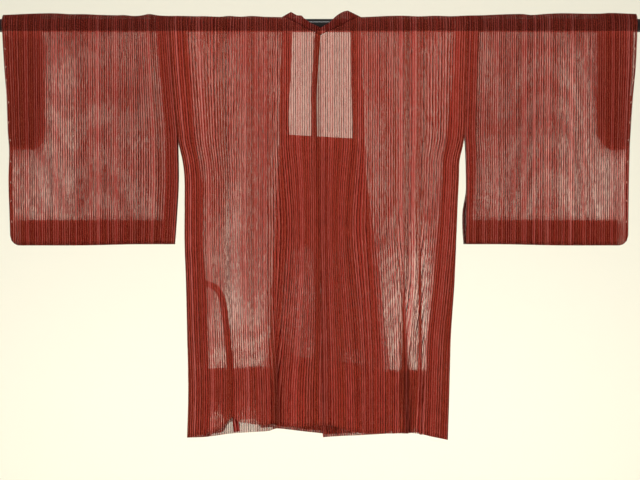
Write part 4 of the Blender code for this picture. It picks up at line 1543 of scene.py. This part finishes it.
    def make_stitches(self, side, sheet):
        """Short stitches along the wrist edge, on both faces of the sleeve."""
        bm = bmesh.new()
        for face in (BACK, FRONT):
            for stitch in STITCHES:
                nearest = min(sheet.rows, key=lambda row: abs(row.height - stitch.height))
                edge = sheet.points[row_of(sheet.rows, face, nearest.height)][0]
                x, y = edge.x - side * stitch.inset, edge.y + face * STITCH_STAND
                place = Vector((x, y, stitch.height))
                turn = Matrix.Rotation(math.radians(stitch.lean * side), 4, "Y")
                bmesh.ops.create_cone(
                    bm,
                    cap_ends=True,
                    segments=STITCH_SIDES,
                    radius1=STITCH_RADIUS,
                    radius2=STITCH_RADIUS,
                    depth=STITCH_LENGTH,
                    matrix=Matrix.Translation(place) @ turn,
                )
        mesh = mesh_of("edge_stitches_" + side_name(side), bm, pale_thread())
        mesh.shade_smooth()
        piece = add_object(mesh.name, mesh)
        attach(piece, "root")


def window_bottom(x):
    """Height of the square neckline's lower edge, which slopes a little."""
    return WINDOW_BOTTOM + WINDOW_SLOPE * x


def hitch(sheet, face):
    """Draws the lower edge of a turned-up hem up where the cloth lies unevenly, and lets its
    upper edge down a little."""
    rows = sheet.points if face == BACK else sheet.points[::-1]
    for point in rows[0]:
        point.z += read(HITCHES, "back" if face == BACK else "front", point.x)
    for point in rows[-1]:
        point.z -= read(HEM_TOPS, "drop", point.x)
    for number, line in enumerate(rows[1:-1], 1):
        for low, high, point in zip(rows[0], rows[-1], line):
            point.z = mix(low.z, high.z, number / (len(rows) - 1))


def fold_double(pairs, gap):
    """A strip folded double along its free edge: its two leaves as one sheet.

    Each pair holds a point on the edge that is sewn down and one on the fold. The flat places
    run along the strip and across both leaves.
    """
    points, flat = [], []
    length = 0.0
    for number, (sewn, free) in enumerate(pairs):
        before, after = pairs[max(number - 1, 0)], pairs[min(number + 1, len(pairs) - 1)]
        along = (after[0] + after[1]) - (before[0] + before[1])
        across = free - sewn
        lift = across.cross(along).normalized() * gap / 2
        if number:
            length += ((sewn + free) - (pairs[number - 1][0] + pairs[number - 1][1])).length / 2
        up = [sewn + across * share + lift for share in LEAF_STOPS]
        down = [sewn + across * share - lift for share in reversed(LEAF_STOPS)]
        tip = sewn + across * FOLD_TIP
        points.append([*up, tip + lift * TIP_GAP_SHARE, free, tip - lift * TIP_GAP_SHARE, *down])
        width = across.length
        out = [width * share for share in (*LEAF_STOPS, FOLD_TIP)]
        shares = [*out, width, *[2 * width - place for place in reversed(out)]]
        flat.append([(place, COLLAR_CUT + length) for place in shares])
    return Sheet(None, points, flat)


def collar_side(side, sheet):
    """Half of the collar from the middle of the back neck, as pairs of a point on the cloth that
    it is sewn to and one on its free edge."""
    name = side_name(side)
    step = UPPER_FRONT_STEP if side == LEFT else UNDER_FRONT_STEP
    dip = Vector((read(BODY_SECTIONS, "back_seam", BACK_NECK_HEIGHT), -CLOTH_RADIUS, BACK_NECK_DIP))
    parts = (name + "_x", "y", name + "_height")
    neck = Vector([getattr(NECK_EDGE[0], part) for part in parts])
    first = row_of(sheet.rows, BACK, BACK_NECK_HEIGHT) + 1
    pairs = []
    for number, row in enumerate(sheet.rows[first:], first):
        edge = sheet.points[number][-1]
        if row.turn is not None:
            free = Vector([read(NECK_EDGE, part, row.turn) for part in parts])
        elif row.face == BACK:
            free = dip.lerp(neck, 1 - row.height / BACK_NECK_HEIGHT)
        elif row.height > WINDOW_BOTTOM:
            free = Vector((side * read(NECK_SIDES, name, row.height), edge.y, edge.z))
        else:
            break
        pairs.append((edge + (free - edge).normalized() * COLLAR_GAP, free))
    gap = CLOTH_RADIUS + step
    corner = side * read(NECK_SIDES, name, WINDOW_BOTTOM)
    outer = side * (read(BODY_SECTIONS, name + "_front", WINDOW_BOTTOM) - COLLAR_GAP)
    end = getattr(OVERLAP_EDGES[0], name + "_panel")
    lower = refine([corner * COLLAR_MITRE, end], COLLAR_LOW_STEP)
    places = [(outer, corner)] + [(x, x) for x in lower]
    for x_outer, x_free in places:
        low = window_bottom(x_outer) - COLLAR_WIDTH
        pairs.append((Vector((x_outer, gap, low)), Vector((x_free, gap, window_bottom(x_free)))))
    return pairs


class COAT_OT_collar(bpy.types.Operator):
    """Makes the small folded collar round the neck and the square neckline"""

    bl_idname = "coat.collar"
    bl_label = "Collar"

    def execute(self, context):
        cloth = context.scene.coat_cloth
        left = collar_side(LEFT, body_sheet(LEFT, cloth, with_pleats=False))
        right = collar_side(RIGHT, body_sheet(RIGHT, cloth, with_pleats=False))
        seam = read(BODY_SECTIONS, "back_seam", BACK_NECK_HEIGHT)
        low = Vector((seam, -CLOTH_RADIUS, BACK_NECK_HEIGHT + COLLAR_GAP))
        dip = Vector((seam, -CLOTH_RADIUS, BACK_NECK_DIP))
        sheet = fold_double(left[::-1] + [(low, dip)] + right, cloth.leaf_gap)
        hanging = [[(point.x, COLLAR_CUT + point.z) for point in line] for line in sheet.points]
        bm, _, places = grid_of(Sheet(None, sheet.points, hanging))
        material = gauze(COLLAR_GAUZE)
        piece = finish_cloth("collar", bm, places, cloth.thickness, material)
        return {"FINISHED"}


class COAT_OT_front_overlaps(bpy.types.Operator):
    """Makes the two front overlap panels, each folded double"""

    bl_idname = "coat.front_overlaps"
    bl_label = "Front Overlaps"

    def execute(self, context):
        cloth = context.scene.coat_cloth
        for side in (LEFT, RIGHT):
            self.make_panel(side, cloth)
        return {"FINISHED"}

    def height_at(self, side, x, height):
        if height > LEVEL_BELOW:
            top = window_bottom(x) - COLLAR_WIDTH - SEAM_GAP
            return mix(LEVEL_BELOW, top, (height - LEVEL_BELOW) / (SIDE_SEAM_TOP - LEVEL_BELOW))
        if height >= HEM_TURNUP_TOP:
            return height
        hem = read(FRONT_HEM, "height", x) + (UNDER_FRONT_HEM_RISE if side == RIGHT else 0.0)
        return mix(HEM_TURNUP_TOP, hem, (height - HEM_TURNUP_TOP) / (LOWEST - HEM_TURNUP_TOP))

    def stops(self, start, end, count):
        """X from one edge of a leaf to the other, with two of them at the step in the hem."""
        first, second = HEM_STEP if start < end else reversed(HEM_STEP)
        if not min(start, end) < first < max(start, end):
            first, second = [mix(start, end, share) for share in MIDDLE_SHARES]
        before, after = spread(start, first, count), spread(second, end, count)
        return [start, *before, first, second, *after, end]

    def folded(self, side, height, half, count):
        """Across one row: flat place, X and distance from the middle of the panel's two leaves."""
        name = side_name(side)
        seam = side * (read(BODY_SECTIONS, name + "_front", height) - SEAM_GAP)
        free = read(OVERLAP_EDGES, name + "_panel", height)
        leaf = read(OVERLAP_EDGES, name + "_leaf", height)
        tip = free + math.copysign(half * LEAF_TIP, free - seam)
        inwards = math.copysign(1.0, free - seam)
        turned = seam + inwards * PANEL_ALLOWANCE
        if (leaf - turned) * inwards < EDGE_CLEAR:
            leaf = turned + inwards * EDGE_CLEAR
        allowance = [turned, *spread(turned, seam, PANEL_SEAM_STEPS), seam]
        return [
            *[(2 * seam - x, x, -half) for x in allowance],
            *[(x, x, half) for x in self.stops(seam, free, count)],
            (free, tip, 0.0),
            *[(2 * free - x, x, -half) for x in self.stops(free, leaf, count)],
        ]

    def make_panel(self, side, cloth):
        name = side_name(side)
        step = UPPER_FRONT_STEP if side == LEFT else UNDER_FRONT_STEP
        heights = [section.height for section in BODY_SECTIONS if section.height <= SIDE_SEAM_TOP]
        across = OVERLAP_EDGES[0].left_panel - OVERLAP_EDGES[0].right_panel
        columns = round(across / cloth.column_step)
        set_out = side * read(BODY_SECTIONS, name + "_front", PANEL_SET_OUT)
        points, flat = [], []
        for height in refine(heights, cloth.row_step):
            seam = side * (read(BODY_SECTIONS, name + "_front", height) - SEAM_GAP)
            line, places = [], []
            for place, x, lift in self.folded(side, height, cloth.leaf_gap / 2, columns // 2):
                z = self.height_at(side, x, height)
                y = CLOTH_RADIUS + step + lift + fold_depth(FRONT, x, z)
                y += ripple(FRONT, x, z, cloth.ripple) * PANEL_RIPPLE_SHARE
                line.append(Vector((x, y, z)))
                places.append((place + (set_out - seam), PANEL_CUT + side - z))
            points.append(line)
            flat.append(places)
        sheet = Sheet(None, points, flat)
        bm, _, places = grid_of(sheet)
        material = gauze(OVERLAP_GAUZE)
        node = "front_overlap_" + name
        piece = finish_cloth(node, bm, places, cloth.thickness, material)


def curve_through(places, steps):
    """A smooth curve through places, each a point and a lean."""
    fine = []
    for number in range(len(places) - 1):
        before, start = places[max(number - 1, 0)], places[number]
        end, after = places[number + 1], places[min(number + 2, len(places) - 1)]
        for part in range(steps):
            share = part / steps
            point = (
                start[0] * 2
                + (end[0] - before[0]) * share
                + (before[0] * 2 - start[0] * 5 + end[0] * 4 - after[0]) * share**2
                + (start[0] * 3 - before[0] - end[0] * 3 + after[0]) * share**3
            ) / 2
            fine.append((point, mix(start[1], end[1], share)))
    return fine + [places[-1]]


class COAT_OT_inner_tie(bpy.types.Operator):
    """Makes the narrow tie that hangs inside the coat from its left side seam"""

    bl_idname = "coat.inner_tie"
    bl_label = "Inner Tie"

    def execute(self, context):
        cloth = context.scene.coat_cloth
        points, flat = [], []
        length = 0.0
        before = None
        for centre, tilt in curve_through(self.centres(cloth), TIE_CURVE_STEPS):
            if before is not None:
                length += (centre - before).length
            before = centre
            angle = math.radians(tilt)
            reach = Vector((math.sin(angle), 0, math.cos(angle))) * TIE_HALF_WIDTH
            line, places = [], []
            for turn in range(0, 360, TIE_TURN_STEP):
                around = math.radians(turn)
                depth = math.sin(around) * cloth.leaf_gap / 2
                line.append(centre + reach * math.cos(around) + Vector((0, depth, 0)))
                places.append((TIE_HALF_WIDTH * 4 * turn / 360, TIE_CUT + length))
            points.append(line)
            flat.append(places)
        bm, grid, places = grid_of(Sheet(None, points, flat))
        first_edge = [line[0] for line in grid]
        last_edge = [line[-1] for line in grid]
        bmesh.ops.bridge_loops(bm, edges=chain(first_edge) + chain(last_edge))
        thickness = cloth.thickness * TIE_THICKNESS_SHARE
        piece = finish_cloth("inner_tie", bm, places, thickness, gauze(TIE_GAUZE))
        return {"FINISHED"}

    def centres(self, cloth):
        """The tie's middle line from the side seam down, each place with its lean."""
        sheet = body_sheet(LEFT, cloth, with_pleats=False)
        row = row_of(sheet.rows, BACK, TIE_ROW_HEIGHT)
        inwards = inward(sheet.points)[row][TURNED_STEPS]
        root = sheet.points[row][TURNED_STEPS] + inwards * INNER_PLY
        root.x += SEAM_GAP
        centres = [(root, 0.0)]
        for place in TIE_PATH:
            y = TIE_CLEAR - body_gap(LEFT, BACK, place.x, place.height)
            centres.append((Vector((place.x, y, place.height)), place.lean))
        return centres


def enamel():
    """Glossy black enamel with faint wear in its shine."""
    material, tree, shader = new_material("Black Enamel")
    place = tree.nodes.new("ShaderNodeTexCoord")
    stretched = tree.nodes.new("ShaderNodeMapping")
    stretched.inputs["Scale"].default_value = WEAR_TO_METRE
    tree.links.new(place.outputs["Object"], stretched.inputs["Vector"])
    cloudy = waves(tree, "3D", stretched.outputs["Vector"], 1.0, 3.0)
    shine = tree.nodes.new("ShaderNodeMapRange")
    feed(tree, shine.inputs["Value"], cloudy)
    feed(tree, shine.inputs["To Min"], ENAMEL_ROUGHNESS[0])
    feed(tree, shine.inputs["To Max"], ENAMEL_ROUGHNESS[1])
    tree.links.new(shine.outputs["Result"], shader.inputs["Roughness"])
    tone = blend_colour(tree, cloudy, *ENAMEL_COLOURS)
    tree.links.new(tone, shader.inputs["Base Color"])
    shader.inputs["Specular IOR Level"].default_value = 0.25
    return material


def pale_thread():
    """Sewing thread that has kept its light colour."""
    name = "Pale Thread"
    if name in bpy.data.materials:
        return bpy.data.materials[name]
    material, _, shader = new_material(name)
    shader.inputs["Base Color"].default_value = THREAD_COLOUR
    shader.inputs["Roughness"].default_value = 0.8
    return material


class COAT_OT_rod(bpy.types.Operator):
    """Makes the round rod of black enamel that runs through both sleeves"""

    bl_idname = "coat.rod"
    bl_label = "Rod"

    def execute(self, context):
        bm = bmesh.new()
        bmesh.ops.create_cone(
            bm,
            cap_ends=True,
            segments=ROD_SIDES,
            radius1=ROD_RADIUS,
            radius2=ROD_RADIUS,
            depth=2 * ROD_HALF_LENGTH,
            matrix=Matrix.Rotation(math.pi / 2, 4, "Y"),
        )
        rims = [edge for edge in bm.edges if any(len(face.verts) > 4 for face in edge.link_faces)]
        bmesh.ops.bevel(
            bm, geom=rims, offset=ROD_RIM, affect="EDGES", segments=3, profile=0.5, material=-1
        )
        for face in bm.faces:
            face.smooth = len(face.verts) <= 4
        mesh = mesh_of("rod_enamelled", bm, enamel())
        piece = add_object(mesh.name, mesh)
        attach(piece, "root")
        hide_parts("rod")
        return {"FINISHED"}


class COAT_OT_studio(bpy.types.Operator):
    """Makes the backdrop, the lights and the camera"""

    bl_idname = "coat.studio"
    bl_label = "Studio"

    def execute(self, context):
        studio = context.scene.coat_studio
        self.make_backdrop(studio)
        self.make_lights(studio)
        self.make_camera(context, studio)
        return {"FINISHED"}

    def make_backdrop(self, studio):
        """A paper sweep: a floor that turns up into a wall, seen from its lit side only."""
        start = studio.wall_distance - BEND
        profile = [(FLOOR_FRONT, 0.0), (start - BEND_FLAT, 0.0)]
        for angle in (math.radians(BEND_TURN * step) for step in range(90 // BEND_TURN + 1)):
            profile.append((start + BEND * math.sin(angle), BEND * (1 - math.cos(angle))))
        profile += [(studio.wall_distance, BEND + BEND_FLAT), (studio.wall_distance, WALL_TOP)]
        bm = bmesh.new()
        made = bmesh.ops.create_grid(bm, x_segments=1, y_segments=len(profile) - 1, size=1)
        order = sorted(made["verts"], key=lambda v: (round(v.co.y, 4), v.co.x))
        for number, vertex in enumerate(order):
            y, rise = profile[number // 2]
            x = SWEEP_HALF_WIDTH if number % 2 else -SWEEP_HALF_WIDTH
            vertex.co = (x, y, studio.floor_height + rise)
        mesh = mesh_of("backdrop", bm, self.paper(studio))
        mesh.shade_smooth()
        add_object("backdrop", mesh)

    def paper(self, studio):
        material, tree, shader = new_material("Backdrop Paper")
        shader.inputs["Base Color"].default_value = (*studio.paper, 1.0)
        shader.inputs["Roughness"].default_value = 0.9
        side = tree.nodes.new("ShaderNodeNewGeometry")
        clear = tree.nodes.new("ShaderNodeBsdfTransparent")
        either = tree.nodes.new("ShaderNodeMixShader")
        tree.links.new(side.outputs["Backfacing"], either.inputs["Fac"])
        tree.links.new(shader.outputs["BSDF"], either.inputs[1])
        tree.links.new(clear.outputs["BSDF"], either.inputs[2])
        tree.links.new(either.outputs["Shader"], tree.nodes["Material Output"].inputs["Surface"])
        return material

    def make_lights(self, studio):
        powers = (studio.key_power, studio.wall_power)
        for lamp, power in zip(LAMPS, powers):
            light = bpy.data.lights.new(lamp.name, "AREA")
            light.shape = "RECTANGLE"
            light.size, light.size_y = lamp.size
            light.energy = power
            light.color = LAMP_COLOUR
            made = add_object(lamp.name, light)
            made.location = lamp.place
            towards = Vector(lamp.aim) - Vector(lamp.place)
            made.rotation_euler = towards.to_track_quat("-Z", "Y").to_euler()
        world = bpy.data.worlds.new("soft_room")
        world.use_nodes = True
        background = world.node_tree.nodes["Background"]
        background.inputs["Color"].default_value = SKY_COLOUR
        background.inputs["Strength"].default_value = studio.sky
        bpy.context.scene.world = world

    def make_camera(self, context, studio):
        lens = bpy.data.cameras.new("camera")
        to_coat = studio.camera_distance - CLOTH_RADIUS
        lens.sensor_fit = "HORIZONTAL"
        lens.lens = lens.sensor_width * to_coat / studio.frame_width
        camera = add_object("camera", lens)
        camera.location = (0.0, -studio.camera_distance, studio.camera_height)
        camera.rotation_euler = (math.pi / 2, 0.0, 0.0)
        context.scene.camera = camera
        context.scene.view_settings.view_transform = "Standard"
        context.scene.cycles.transparent_max_bounces = 64
        context.scene.cycles.diffuse_bounces = 3


class COAT_PT_parts(bpy.types.Panel):
    """Lists the coat's parts in the sidebar"""

    bl_idname = "COAT_PT_parts"
    bl_label = "Michiyuki Coat"
    bl_space_type = "VIEW_3D"
    bl_region_type = "UI"
    bl_category = "Coat"

    def draw(self, context):
        scene = context.scene
        for settings in (scene.coat_cloth, scene.coat_stripes, scene.coat_studio):
            box = self.layout.box()
            for name in settings.__annotations__:
                box.prop(settings, name)
        for step in STEPS:
            self.layout.operator(step.bl_idname)


STEPS = (
    COAT_OT_body_widths,
    COAT_OT_sleeves,
    COAT_OT_collar,
    COAT_OT_front_overlaps,
    COAT_OT_inner_tie,
    COAT_OT_rod,
    COAT_OT_studio,
)
SETTINGS = (
    ("coat_cloth", CoatCloth),
    ("coat_stripes", CoatStripes),
    ("coat_studio", CoatStudio),
)


def register():
    for name, group in SETTINGS:
        bpy.utils.register_class(group)
        setattr(bpy.types.Scene, name, PointerProperty(type=group))
    for step in STEPS:
        bpy.utils.register_class(step)
    bpy.utils.register_class(COAT_PT_parts)


def unregister():
    bpy.utils.unregister_class(COAT_PT_parts)
    for step in reversed(STEPS):
        bpy.utils.unregister_class(step)
    for name, group in reversed(SETTINGS):
        delattr(bpy.types.Scene, name)
        bpy.utils.unregister_class(group)


def main():
    register()
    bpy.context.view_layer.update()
    for step in STEPS:
        family, name = step.bl_idname.split(".")
        getattr(getattr(bpy.ops, family), name)()


if __name__ == "__main__":
    main()
